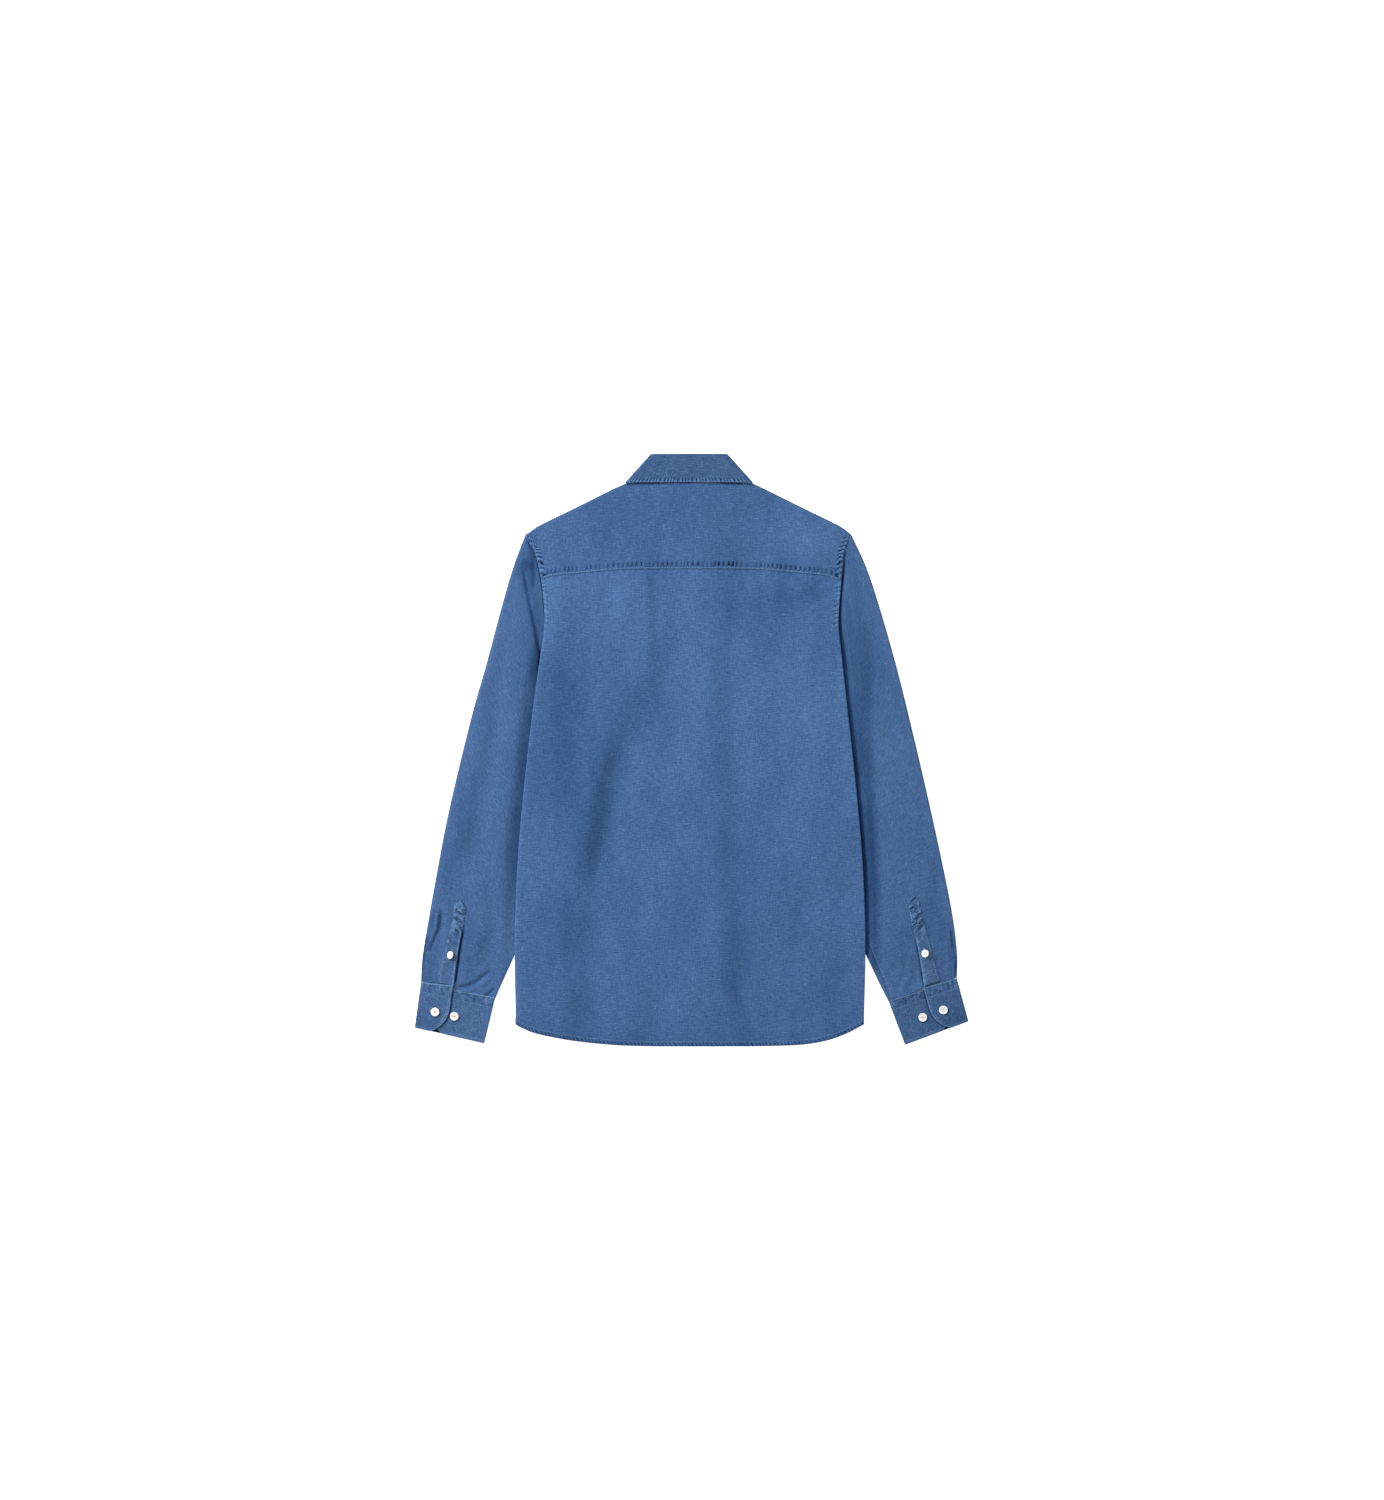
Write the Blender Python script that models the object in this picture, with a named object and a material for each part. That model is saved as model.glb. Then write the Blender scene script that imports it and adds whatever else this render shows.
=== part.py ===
"""An oxford shirt laid out flat, face down, with its back upwards and its sleeves beside it.

Lengths are in millimetres until a point is placed, and metres after that. A place on the shirt is
(x, down): x runs to the right of the centre back line, seen from above, and down runs from the
collar's top fold towards the hem. +Z is up, and the shirt rests on z = 0. Heights are those of the
middle of a layer's thickness.
"""

import math
from collections import namedtuple

import bmesh
import bpy
from mathutils import Vector
from mathutils.bvhtree import BVHTree

MM = 0.001

# Cloth and seams
CLOTH = 1.0
DOUBLED = 1.2
GAP = 0.3
SEAM = 0.15

# The shirt's main sizes
BACK_LENGTH = 799.0
NECK_HALF_WIDTH = 70.0
NECK_SIDE_DOWN = 33.0
BACK_NECK_DROP = 5.0
FRONT_NECK_DROP = 73.0
BAND_HALF_WIDTH = 15.0

# Collar
FOLD_HALF_WIDTH = 52.6
COLLAR_FALL = 41.0
COLLAR_EDGE_HALF_WIDTH = 86.0
ROLL_FRONT = (4.0, 74.0)
COLLAR_POINT = (39.0, 138.0)
STAND_OVERLAP = 11.0

# Heights of the layers
REST_Z = CLOTH / 2
UPPER_Z = 4.8
TUCKED_SLEEVE_Z = 2.2
SLEEVE_CROWN_Z = 4.8
OVER_SLEEVE_LIFT = 3.1
OVER_WING_LIFT = 1.9
BAND_Z = 2.9
UNDER_BAND_Z = 4.4
PLACKET_RIDGE = 1.1
WING_Z = DOUBLED / 2
LEAF_FOLD_Z = 8.7
LEAF_EDGE_Z = 7.5
STAND_TOP_Z = 7.0
STAND_FRONT_Z = 2.9

# Buttons
BUTTON_RADIUS = 5.8
SMALL_BUTTON_RADIUS = 5.2
BUTTON_THICKNESS = 2.0
BUTTON_RIM = 1.1
BUTTON_DISH = 0.45
BUTTON_HOLE_RADIUS = 0.8
BUTTON_HOLE_OFFSET = 1.25
FRONT_BUTTONS = 7
FIRST_FRONT_BUTTON = 161.0
FRONT_BUTTON_STEP = 88.0
COLLAR_BUTTON_DOWN = 91.0

# The trunk's visible edge: the armhole seam as far as 228 down, and a fold below it.
Edge = namedtuple("Edge", "down left right")
TRUNK_EDGE = (
    Edge(108, 224.0, 218.9),
    Edge(113, 221.0, 216.4),
    Edge(120, 216.0, 214.2),
    Edge(131, 209.0, 210.0),
    Edge(157, 202.0, 207.0),
    Edge(190, 197.0, 204.0),
    Edge(228, 195.0, 201.5),
    Edge(262, 199.0, 205.0),
    Edge(332, 209.0, 212.5),
    Edge(440, 221.5, 224.5),
    Edge(548, 231.0, 234.0),
    Edge(656, 235.0, 238.0),
    Edge(770, 234.0, 236.0),
)
ARMHOLE_KNOTS = (122, 136, 153, 170, 190, 209, 228)
ARMHOLE_END = ARMHOLE_KNOTS[-1]

# The back's hem, by distance out from the centre.
Hem = namedtuple("Hem", "out left right")
HEM = (
    Hem(0, 799.0, 799.0),
    Hem(60, 798.8, 799.0),
    Hem(100, 797.3, 798.8),
    Hem(150, 792.5, 797.0),
    Hem(185, 786.5, 791.5),
    Hem(212, 780.0, 782.0),
    Hem(236, 769.0, 769.5),
)
FRONT_HEM_SHORTER = 2.5

# The seam between the yoke and the back.
Seam = namedtuple("Seam", "out down")
YOKE_SEAM = (Seam(0, 155.0), Seam(90, 156.0), Seam(150, 161.0), Seam(185, 164.5), Seam(203, 170.5))

# The shoulder fold, from under the collar to the sleeve head.
SHOULDER = (
    Seam(70, 35.5),
    Seam(80, 40.0),
    Seam(88, 42.6),
    Seam(100, 45.9),
    Seam(150, 70.5),
    Seam(200, 95.5),
    Seam(212, 103.0),
    Seam(221.5, 111.5),
)
SHOULDER_TIP = {"left": 221.2, "right": 218.4}
SHOULDER_TIP_NORMAL = (0.62, -0.785)

# Stations down a sleeve: its outer fold, and its underarm edge, which lies under the trunk as far
# as station 7.
Station = namedtuple("Station", "outer outer_down inner inner_down")
SLEEVE_STATIONS = {
    "left": (
        Station(221.3, 111.8, 140.0, 325.0),
        Station(236.0, 150.0, 143.0, 345.0),
        Station(252.5, 205.0, 147.0, 372.0),
        Station(272.5, 280.0, 158.0, 430.0),
        Station(291.0, 345.0, 173.0, 490.0),
        Station(311.0, 425.0, 190.0, 546.0),
        Station(328.0, 500.0, 207.0, 600.0),
        Station(343.0, 580.0, 223.0, 646.0),
        Station(352.5, 634.0, 237.5, 681.0),
        Station(359.5, 678.0, 250.0, 709.0),
        Station(361.8, 712.0, 261.7, 735.6),
    ),
    "right": (
        Station(218.5, 108.4, 143.0, 325.0),
        Station(238.5, 152.0, 146.0, 345.0),
        Station(256.5, 205.0, 150.0, 372.0),
        Station(278.0, 280.0, 161.0, 430.0),
        Station(294.5, 345.0, 176.0, 490.0),
        Station(313.5, 425.0, 193.0, 546.0),
        Station(330.5, 500.0, 210.0, 600.0),
        Station(347.5, 580.0, 226.0, 646.0),
        Station(357.0, 632.0, 241.0, 681.0),
        Station(361.8, 676.0, 255.0, 711.0),
        Station(361.4, 707.0, 269.0, 739.0),
    ),
}

# Each cuff: the ends of its fold on the outer side, and of its fold on the underarm side, then how
# far from the outer fold its overlap ends and its two buttons lie.
Cuff = namedtuple("Cuff", "outer_top outer_bottom inner_top inner_bottom overlap first_button second_button")
CUFFS = {
    "left": Cuff((361.8, 712.5), (370.3, 774.5), (261.9, 735.9), (276.5, 795.9), 44.0, 24.6, 51.3),
    "right": Cuff((361.4, 707.5), (377.2, 766.0), (269.3, 739.4), (291.6, 797.9), 47.0, 29.0, 58.5),
}
UNDERLAP_START = 11.0
CUFF_ROUNDING = 23.0
CUFF_ROUND_FROM = 0.38
CUFF_BUTTON_HEIGHT = 0.56
CUFF_UNDER_Z = 2.6
CUFF_OVER_Z = 4.1

# Each sleeve placket: its two long edges from the point to the cuff.
Strip = namedtuple("Strip", "outer outer_down inner inner_down")
PLACKETS = {
    "left": (
        Strip(316.8, 609.0, 301.0, 612.5),
        Strip(318.8, 630.5, 304.7, 636.0),
        Strip(327.4, 658.8, 310.0, 662.0),
        Strip(334.8, 689.9, 314.8, 694.0),
        Strip(340.2, 715.9, 318.0, 721.2),
    ),
    "right": (
        Strip(311.0, 609.0, 297.3, 613.0),
        Strip(316.2, 630.5, 301.5, 636.0),
        Strip(323.8, 655.0, 307.4, 661.0),
        Strip(331.8, 685.8, 313.2, 692.0),
        Strip(340.2, 713.2, 317.6, 721.0),
    ),
}
PLACKET_POINT_DOWN = 600.5
PLACKET_BUTTON = {"left": (321.6, 675.8), "right": (318.3, 673.8)}

# The largest soft folds of the back and yoke, each along the line between its two ends.
Fold = namedtuple("Fold", "x0 down0 x1 down1 width height")
BACK_FOLDS = (
    Fold(-48, 290, -112, 425, 22, -0.9),
    Fold(-112, 425, -152, 740, 24, -0.8),
    Fold(-90, 180, -78, 290, 30, 0.5),
    Fold(48, 190, 50, 620, 18, -0.45),
    Fold(50, 620, 62, 760, 18, -0.6),
    Fold(-170, 280, -185, 470, 34, -0.5),
    Fold(150, 190, 100, 215, 20, -0.5),
)

SIGN = {"left": -1, "right": 1}
CENTRE_X = (CUFFS["right"].outer_bottom[0] - CUFFS["left"].outer_bottom[0]) / 2
CENTRE_DOWN = BACK_LENGTH / 2 + 0.2


def smooth(t):
    """0 below t = 0, 1 above t = 1, and a soft step between them."""
    t = min(1.0, max(0.0, t))
    return t * t * (3 - 2 * t)


def blend(a, b, t):
    return a + (b - a) * t


def along(rows, key, column, value):
    """A column of a table, read at a value of its key column with a curve through the rows."""
    keys = [getattr(row, key) for row in rows]
    values = [getattr(row, column) for row in rows]
    value = min(max(value, keys[0]), keys[-1])
    i = max(k for k in range(len(keys) - 1) if keys[k] <= value)
    span = keys[i + 1] - keys[i]
    t = (value - keys[i]) / span

    def slope(k):
        low, high = max(k - 1, 0), min(k + 1, len(keys) - 1)
        return (values[high] - values[low]) / (keys[high] - keys[low])

    a, b = slope(i) * span, slope(i + 1) * span
    rise = values[i + 1] - values[i]
    return values[i] + a * t + (3 * rise - 2 * a - b) * t**2 + (a + b - 2 * rise) * t**3


def station_at(side, k):
    """The sleeve's outer and underarm points at a station that needn't be a whole number."""
    rows = SLEEVE_STATIONS[side]
    i = min(int(k), len(rows) - 2)
    before, after = rows[max(i - 1, 0)], rows[min(i + 2, len(rows) - 1)]
    a, b, t = rows[i], rows[i + 1], k - i
    values = []
    for p, q, r, s in zip(before, a, b, after):
        first, second = (r - p) / (1 if i == 0 else 2), (s - q) / (1 if i + 2 >= len(rows) else 2)
        values.append(q + first * t + (3 * (r - q) - 2 * first - second) * t**2
                      + (first + second - 2 * (r - q)) * t**3)
    return Station(*values)


def placed(x, down, z):
    return Vector(((x - CENTRE_X) * MM, (CENTRE_DOWN - down) * MM, z * MM))


# ---------------------------------------------------------------- outlines


def trunk_edge(side, down):
    return along(TRUNK_EDGE, "down", side, down)


def hem_down(x):
    side = "left" if x < 0 else "right"
    return along(HEM, "out", side, abs(x))


def yoke_seam_down(x):
    return along(YOKE_SEAM, "out", "down", abs(x))


def shoulder_down(x):
    return along(SHOULDER, "out", "down", abs(x))


def back_neck_down(x):
    return NECK_SIDE_DOWN + BACK_NECK_DROP * (1 - (x / NECK_HALF_WIDTH) ** 2)


def front_neck(angle, out=0.0):
    """A point of the front neckline, moved out from it: 0 is at the shoulder and a right angle at the
    centre front."""
    return ((NECK_HALF_WIDTH + out) * math.cos(angle),
            NECK_SIDE_DOWN + (FRONT_NECK_DROP + out) * math.sin(angle))


def front_neck_out(down):
    """How far out the front neckline lies at a place down it."""
    return front_neck(math.asin(min(1.0, max(0.0, (down - NECK_SIDE_DOWN) / FRONT_NECK_DROP))))[0]


def front_neck_down(x):
    return front_neck(math.acos(min(1.0, abs(x) / NECK_HALF_WIDTH)))[1]


FRONT_SEAM_ANGLE = 0.4405
FRONT_SEAM_AT_NECK = NECK_HALF_WIDTH * math.cos(FRONT_SEAM_ANGLE)
FRONT_SIDE_DOWN = ARMHOLE_KNOTS[1]


def front_seam_down(out):
    """The straight seam between the yoke's front edge and a front, from the neckline to the armhole."""
    share = (out - FRONT_SEAM_AT_NECK) / (trunk_edge("left", FRONT_SIDE_DOWN) - SEAM - FRONT_SEAM_AT_NECK)
    at_neck = front_neck(FRONT_SEAM_ANGLE)[1]
    return blend(at_neck, FRONT_SIDE_DOWN, share)


def tucked_edge(side, down):
    """How far out the underarm edge of the sleeve lies under the trunk."""
    first = SLEEVE_STATIONS[side][0]
    start = trunk_edge(side, ARMHOLE_END)
    if down < first.inner_down:
        return blend(start, first.inner, (down - ARMHOLE_END) / (first.inner_down - ARMHOLE_END))
    return along(SLEEVE_STATIONS[side], "inner_down", "inner", down)


# ---------------------------------------------------------------- heights of the layers


def over_sleeve(x, down):
    """1 where the trunk lies over a tucked sleeve, falling to 0 well inside it and at the hem."""
    side = "left" if x < 0 else "right"
    inside = abs(x) - tucked_edge(side, max(down, ARMHOLE_END))
    near = smooth((inside + 74) / 38)
    return near * smooth((down - ARMHOLE_END + 50) / 34) * smooth((758 - down) / 60)


def over_wing(x, down):
    """1 above the collar's front points, falling to 0 round them."""
    reach = math.hypot(x / 95, (down - 72) / 82)
    return smooth((1.5 - reach) / 0.42)


def fold_height(folds, x, down):
    total = 0.0
    for fold in folds:
        along_x, along_down = fold.x1 - fold.x0, fold.down1 - fold.down0
        length = math.hypot(along_x, along_down)
        t = ((x - fold.x0) * along_x + (down - fold.down0) * along_down) / length**2
        across = ((x - fold.x0) * along_down - (down - fold.down0) * along_x) / length
        ends = smooth((t + 0.25) / 0.4) * smooth((1.25 - t) / 0.4)
        total += fold.height * ends * math.exp(-((across / fold.width) ** 2))
    return total


def upper_z(x, down):
    """The back and the yoke, which lie over everything else of the trunk."""
    ridge = PLACKET_RIDGE * math.exp(-((x / 52) ** 2))
    hem_drop = 1.3 * smooth((down - 700) / 90)
    return UPPER_Z + ridge - hem_drop + over_sleeve(x, down) + fold_height(BACK_FOLDS, x, down)


def lower_z(x, down):
    """The fronts and the yoke's front edges, away from the button band."""
    lift = max(OVER_SLEEVE_LIFT * over_sleeve(x, down), OVER_WING_LIFT * over_wing(x, down))
    return REST_Z + lift


def band_drop(down):
    """The bands come down to the surface at the hem, where no button lies under them."""
    return 1.4 * smooth((down - 697) / 95)


def front_z(side, x, down):
    """A front, which rises to the button band at its centre front edge."""
    top = (BAND_Z if side == "left" else UNDER_BAND_Z) - band_drop(down)
    out = x * SIGN[side]
    reach = 45 if side == "left" else 55
    rise = smooth((BAND_HALF_WIDTH + reach - out) / reach)
    return max(lower_z(x, down), REST_Z + (top - REST_Z) * rise)


def sleeve_top_z(side, x, down):
    """The sleeve's upper layer: low beside and under the trunk, and full between there and its fold."""
    out = abs(x) - trunk_edge(side, down)
    dip_from, dip_over = (150, 78) if side == "left" else (138, 50)
    at_edge = blend(5.0, TUCKED_SLEEVE_Z, smooth((down - dip_from) / dip_over))
    width = 17 if side == "left" else 9
    full = blend(at_edge, SLEEVE_CROWN_Z, smooth((out - 3) / width))
    stations = SLEEVE_STATIONS[side]
    cuff = smooth((down - 660) / 60)
    last = stations[-1]
    across = (last.outer - abs(x)) / (last.outer - last.inner)
    at_cuff = blend(CUFF_OVER_Z, CUFF_UNDER_Z, smooth((across - 0.02) / 0.18))
    return blend(full, at_cuff, cuff)


# ---------------------------------------------------------------- making objects


def material(name, colour, roughness):
    made = bpy.data.materials.new(name)
    made.use_nodes = True
    shader = made.node_tree.nodes["Principled BSDF"]
    shader.inputs["Base Color"].default_value = (*colour, 1)
    shader.inputs["Roughness"].default_value = roughness
    shader.inputs["Metallic"].default_value = 0
    return made


def link(name, mesh, finish):
    obj = bpy.data.objects.new(name, mesh)
    mesh.materials.append(finish)
    bpy.context.scene.collection.objects.link(obj)
    return obj


def cloth(name, points, cells, thickness, finish):
    """A wall of cloth on a grid of points. points maps (row, column) to a place, and cells lists the
    four corners of each face."""
    made = bmesh.new()
    verts = {key: made.verts.new(point) for key, point in points.items()}
    for corners in cells:
        made.faces.new([verts[key] for key in corners])
    bmesh.ops.recalc_face_normals(made, faces=made.faces)
    mesh = bpy.data.meshes.new(name)
    made.to_mesh(mesh)
    made.free()
    mesh.shade_smooth()
    obj = link(name, mesh, finish)
    solid = obj.modifiers.new("wall", "SOLIDIFY")
    solid.thickness = thickness * MM
    solid.offset = 0
    return obj


def grid_cells(rows, columns, closed=False):
    """The corners of each cell of a grid of points, joined round its columns where it is closed."""
    last = columns if closed else columns - 1
    for i in range(rows - 1):
        for j in range(last):
            k = (j + 1) % columns
            yield (i, j), (i, k), (i + 1, k), (i + 1, j)


# ---------------------------------------------------------------- trunk

ROLL_STEPS = 3
ROLL_WIDTH = 1.9
ROLL_SHARE = ROLL_WIDTH / 400
ROLL_SPACE = 0.6
BACK_ROWS = 11
BACK_COLUMNS = 24


def rolled_edge(side, x, down, z, turn, step):
    """Moves a point near the trunk's side onto its rolled fold. Above the armhole's end the edge is cut
    flat. The step counts from 0 on the flat to the last at the middle of the fold."""
    reach = roll_reach(side, down)
    angle = step / ROLL_STEPS * math.pi / 2
    round_x = trunk_edge(side, down) - CLOTH / 2 - reach * (1 - math.sin(angle))
    round_z = z + turn * reach * (1 - math.cos(angle))
    rolled = smooth((down - ARMHOLE_END + 4) / 30)
    return blend(x, SIGN[side] * round_x, rolled), blend(z, round_z, rolled)


def roll_reach(side, down):
    """The radius of the fold at the trunk's side, which its back and front share."""
    x = SIGN[side] * (trunk_edge(side, down) - SEAM - ROLL_WIDTH)
    return max(0.6, (upper_z(x, down) - front_z(side, x, down) - ROLL_SPACE) / 2)


def back_shares():
    """Shares across the back at the yoke seam, with steps close together at the two rolled sides."""
    inner = [blend(ROLL_SHARE, 1 - ROLL_SHARE, n / BACK_COLUMNS) for n in range(BACK_COLUMNS + 1)]
    low = [ROLL_SHARE * n / ROLL_STEPS for n in range(ROLL_STEPS)]
    return low + inner + [1 - share for share in reversed(low)]


def seam_edge(down):
    """The yoke seam's point at a share of the way across, moved along the shirt by a gap."""
    left, right = trunk_edge("left", 170) - SEAM, trunk_edge("right", 170) - SEAM

    def curve(u):
        x = blend(-left, right, u)
        return x, yoke_seam_down(x) + down

    return curve


def ruled(bottom, top, left, right, u, v):
    """A point u across and v up the patch between two curves, in the row between two side points."""
    point = []
    for axis in (0, 1):
        low, high = bottom(u)[axis], top(u)[axis]
        base_low = blend(bottom(0)[axis], bottom(1)[axis], u)
        base_high = blend(top(0)[axis], top(1)[axis], u)
        point.append(blend(left[axis], right[axis], u) + blend(low - base_low, high - base_high, v))
    return tuple(point)


def side_rows(bottom, top):
    """How far down each row of the back or a front meets its two side edges."""
    low, high = bottom(0)[1], top(0)[1]
    level = [blend(low, 290, n / BACK_ROWS) for n in range(1, BACK_ROWS + 1)]
    level += [down for down in reversed(ARMHOLE_KNOTS) if down > high + 4]
    return [(bottom(0)[1], bottom(1)[1])] + [(down, down) for down in level] + [(top(0)[1], top(1)[1])]


def make_back(finish):
    top = seam_edge(SEAM)
    low_left, low_right = hem_down(-300), hem_down(300)

    def bottom(u):
        x = blend(-trunk_edge("left", low_left) + SEAM, trunk_edge("right", low_right) - SEAM, u)
        return x, hem_down(x)

    shares = back_shares()
    last = len(shares) - 1
    rows = side_rows(bottom, top)
    points = {}
    for i, (left_down, right_down) in enumerate(rows):
        v = (left_down - rows[0][0]) / (rows[-1][0] - rows[0][0])
        left = (-trunk_edge("left", left_down) + SEAM, left_down)
        right = (trunk_edge("right", right_down) - SEAM, right_down)
        for j, u in enumerate(shares):
            x, down = ruled(bottom, top, left, right, u, v)
            z = upper_z(x, down)
            for side, step in (("left", ROLL_STEPS - j), ("right", ROLL_STEPS - last + j)):
                if step >= 0:
                    x, z = rolled_edge(side, x, down, z, -1, step)
            points[i, j] = placed(x, down, z)
    return cloth("back", points, grid_cells_from(points), CLOTH, finish)


SHOULDER_SHARE = 0.62
NECK_SEAM = 0.45


def make_front(side, finish):
    """A front, from its rolled side to its centre front edge, and from its hem to the yoke and neck."""
    sign = SIGN[side]
    centre = -BAND_HALF_WIDTH if side == "right" else BAND_HALF_WIDTH + GAP
    low = hem_down(sign * 300) - FRONT_HEM_SHORTER
    out_low, out_high = trunk_edge(side, low) - SEAM, trunk_edge(side, FRONT_SIDE_DOWN) - SEAM

    def bottom(u):
        out = blend(out_low, centre, u)
        return out, hem_down(sign * out) - FRONT_HEM_SHORTER

    def top(u):
        if u <= SHOULDER_SHARE:
            out = blend(out_high, FRONT_SEAM_AT_NECK, u / SHOULDER_SHARE)
            return out, front_seam_down(out) + SEAM
        turn = math.acos(centre / NECK_HALF_WIDTH)
        angle = blend(FRONT_SEAM_ANGLE, turn, (u - SHOULDER_SHARE) / (1 - SHOULDER_SHARE))
        return front_neck(angle, NECK_SEAM)

    width = out_high - centre
    shares = [ROLL_WIDTH / width * n / ROLL_STEPS for n in range(ROLL_STEPS)]
    shares += [blend(ROLL_WIDTH / width, SHOULDER_SHARE, n / 6) for n in range(6)]
    shares += [blend(SHOULDER_SHARE, 1, n / 6) for n in range(7)]
    rows = side_rows(bottom, top)
    points = {}
    for i, (side_down, _) in enumerate(rows):
        v = (side_down - rows[0][0]) / (rows[-1][0] - rows[0][0])
        at_side = (trunk_edge(side, side_down) - SEAM, side_down)
        at_centre = (centre, blend(bottom(1)[1], top(1)[1], v))
        for j, u in enumerate(shares):
            out, down = ruled(bottom, top, at_side, at_centre, u, v)
            x, z = sign * out, front_z(side, sign * out, down)
            if j <= ROLL_STEPS:
                x, z = rolled_edge(side, x, down, z, 1, ROLL_STEPS - j)
            points[i, j] = placed(x, down, z)
    return cloth(f"front_{side}", points, grid_cells_from(points), CLOTH, finish)


def make_band(finish):
    """The button band, sewn to the left front and lying over the right one's edge."""
    points = {}
    for i in range(BACK_ROWS + 1):
        for j in range(3):
            x = BAND_HALF_WIDTH * (j - 1)
            top, bottom = front_neck_down(x) + 2 * SEAM, hem_down(x) - FRONT_HEM_SHORTER
            down = blend(bottom, top, i / BACK_ROWS)
            points[i, j] = placed(x, down, BAND_Z - band_drop(down))
    return cloth("front_band", points, grid_cells(BACK_ROWS + 1, 3), DOUBLED, finish)


SHOULDER_COLUMNS = 8
YOKE_NECK_HALF_WIDTH = NECK_HALF_WIDTH + 1.4
WRAP_STEPS = 4
YOKE_FRONT_ROWS = 2


def shoulder_normal(x):
    """The way out of the shirt at the shoulder fold, which turns towards the sleeve at its head."""
    turn = smooth((abs(x) - 196) / 22)
    out = blend(0.447, SHOULDER_TIP_NORMAL[0], turn)
    return math.copysign(out, x), -math.sqrt(1 - out * out)


def make_yoke(finish):
    shares = [0.0] + back_shares()[ROLL_STEPS:-ROLL_STEPS] + [1.0]
    columns = len(shares) - 1
    bottom = seam_edge(-SEAM)

    def outline(j):
        """The yoke's top edge: a shoulder fold, the neckline, and the other fold."""
        if j <= SHOULDER_COLUMNS:
            x = -blend(SHOULDER_TIP["left"] - SEAM, YOKE_NECK_HALF_WIDTH, j / SHOULDER_COLUMNS)
            return x, shoulder_down(x)
        if j >= columns - SHOULDER_COLUMNS:
            x = blend(SHOULDER_TIP["right"] - SEAM, YOKE_NECK_HALF_WIDTH, (columns - j) / SHOULDER_COLUMNS)
            return x, shoulder_down(x)
        share = (j - SHOULDER_COLUMNS) / (columns - 2 * SHOULDER_COLUMNS)
        x = blend(-YOKE_NECK_HALF_WIDTH, YOKE_NECK_HALF_WIDTH, share)
        return x, back_neck_down(x) + SEAM

    def on_shoulder(j):
        return not SHOULDER_COLUMNS < j < columns - SHOULDER_COLUMNS

    def wrap_radius(x, down):
        return (upper_z(x, down) - lower_z(x, down)) / 2

    def fold_point(j):
        """Where the yoke starts to turn over the shoulder, or its neck edge."""
        x, down = outline(j)
        if not on_shoulder(j):
            return x, down
        normal_x, normal_down = shoulder_normal(x)
        inset = wrap_radius(x, down) + CLOTH / 2
        return x - normal_x * inset, down - normal_down * inset

    rows = [(bottom(0)[1], bottom(1)[1])] + [(down, down) for down in (153, 136, 122)]
    sides = [[(sign * (trunk_edge(side, row[n]) - SEAM), row[n]) for row in rows]
             for n, (side, sign) in enumerate(SIGN.items())]
    sides[0].append(fold_point(0))
    sides[1].append(fold_point(columns))
    points = {}
    for i, (left, right) in enumerate(zip(*sides)):
        for j, u in enumerate(shares):
            x, down = ruled(bottom, lambda u: fold_point(shares.index(u)), left, right, u, i / len(rows))
            points[i, j] = placed(x, down, upper_z(x, down))
    for j in filter(on_shoulder, range(columns + 1)):
        start_x, start_down = fold_point(j)
        radius = wrap_radius(*outline(j))
        normal_x, normal_down = shoulder_normal(outline(j)[0])
        high, low = upper_z(start_x, start_down), lower_z(start_x, start_down)
        for step in range(1, WRAP_STEPS + 1):
            angle = math.pi * step / WRAP_STEPS
            reach = radius * math.sin(angle)
            points[len(rows) + step, j] = placed(
                start_x + normal_x * reach, start_down + normal_down * reach,
                blend(low, high, (1 + math.cos(angle)) / 2))
        side = "left" if start_x < 0 else "right"
        share = (j if side == "left" else columns - j) / SHOULDER_COLUMNS
        seam_out = blend(trunk_edge(side, FRONT_SIDE_DOWN) - SEAM, FRONT_SEAM_AT_NECK, share)
        seam_down = front_seam_down(seam_out) - SEAM
        for step in range(1, YOKE_FRONT_ROWS + 1):
            t = step / YOKE_FRONT_ROWS
            row_x, row_down = blend(start_x, SIGN[side] * seam_out, t), blend(start_down, seam_down, t)
            if share == 0 and step < YOKE_FRONT_ROWS:
                row_x, row_down = SIGN[side] * (trunk_edge(side, 122) - SEAM), 122
            if share == 1:
                row_x = SIGN[side] * (front_neck_out(row_down) + NECK_SEAM)
            points[len(rows) + WRAP_STEPS + step, j] = placed(row_x, row_down, lower_z(row_x, row_down))
    return cloth("yoke", points, grid_cells_from(points), CLOTH, finish)


# ---------------------------------------------------------------- sleeves

SLEEVE_RINGS = (0, 0.4, 1, 1.6, 2.2, 2.8, 3.4, 4, 4.6, 5.2, 5.8, 6.4, 7, 7.5, 8, 8.5, 9, 9.5, 10)
SLEEVE_TUCKED_STEPS = 3
SLEEVE_TURN_STEPS = 3


def armhole_bulge(side, share):
    """How far the armhole seam lies outside the straight line between its ends."""
    first = SLEEVE_STATIONS[side][0]
    down = blend(first.outer_down, first.inner_down, share)
    straight = blend(first.outer, first.inner, share)
    if down <= ARMHOLE_END:
        return trunk_edge(side, down) - straight
    return tucked_edge(side, down) - straight


def sleeve_section(side, k, share):
    """A place across the sleeve at a station, from 0 at its outer fold to 1 at its underarm edge."""
    station = station_at(side, k)
    bulge = armhole_bulge(side, share) * smooth(1 - k / 2.5)
    seam = 0.25 * smooth(1 - k * 4)
    out = blend(station.outer, station.inner, share) + bulge + seam
    return out, blend(station.outer_down, station.inner_down, share) + seam


def armhole_shares(side):
    """Shares across the sleeve's first section at which the armhole's knots lie."""
    first = SLEEVE_STATIONS[side][0]
    return [(down - first.outer_down) / (first.inner_down - first.outer_down) for down in ARMHOLE_KNOTS]


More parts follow.
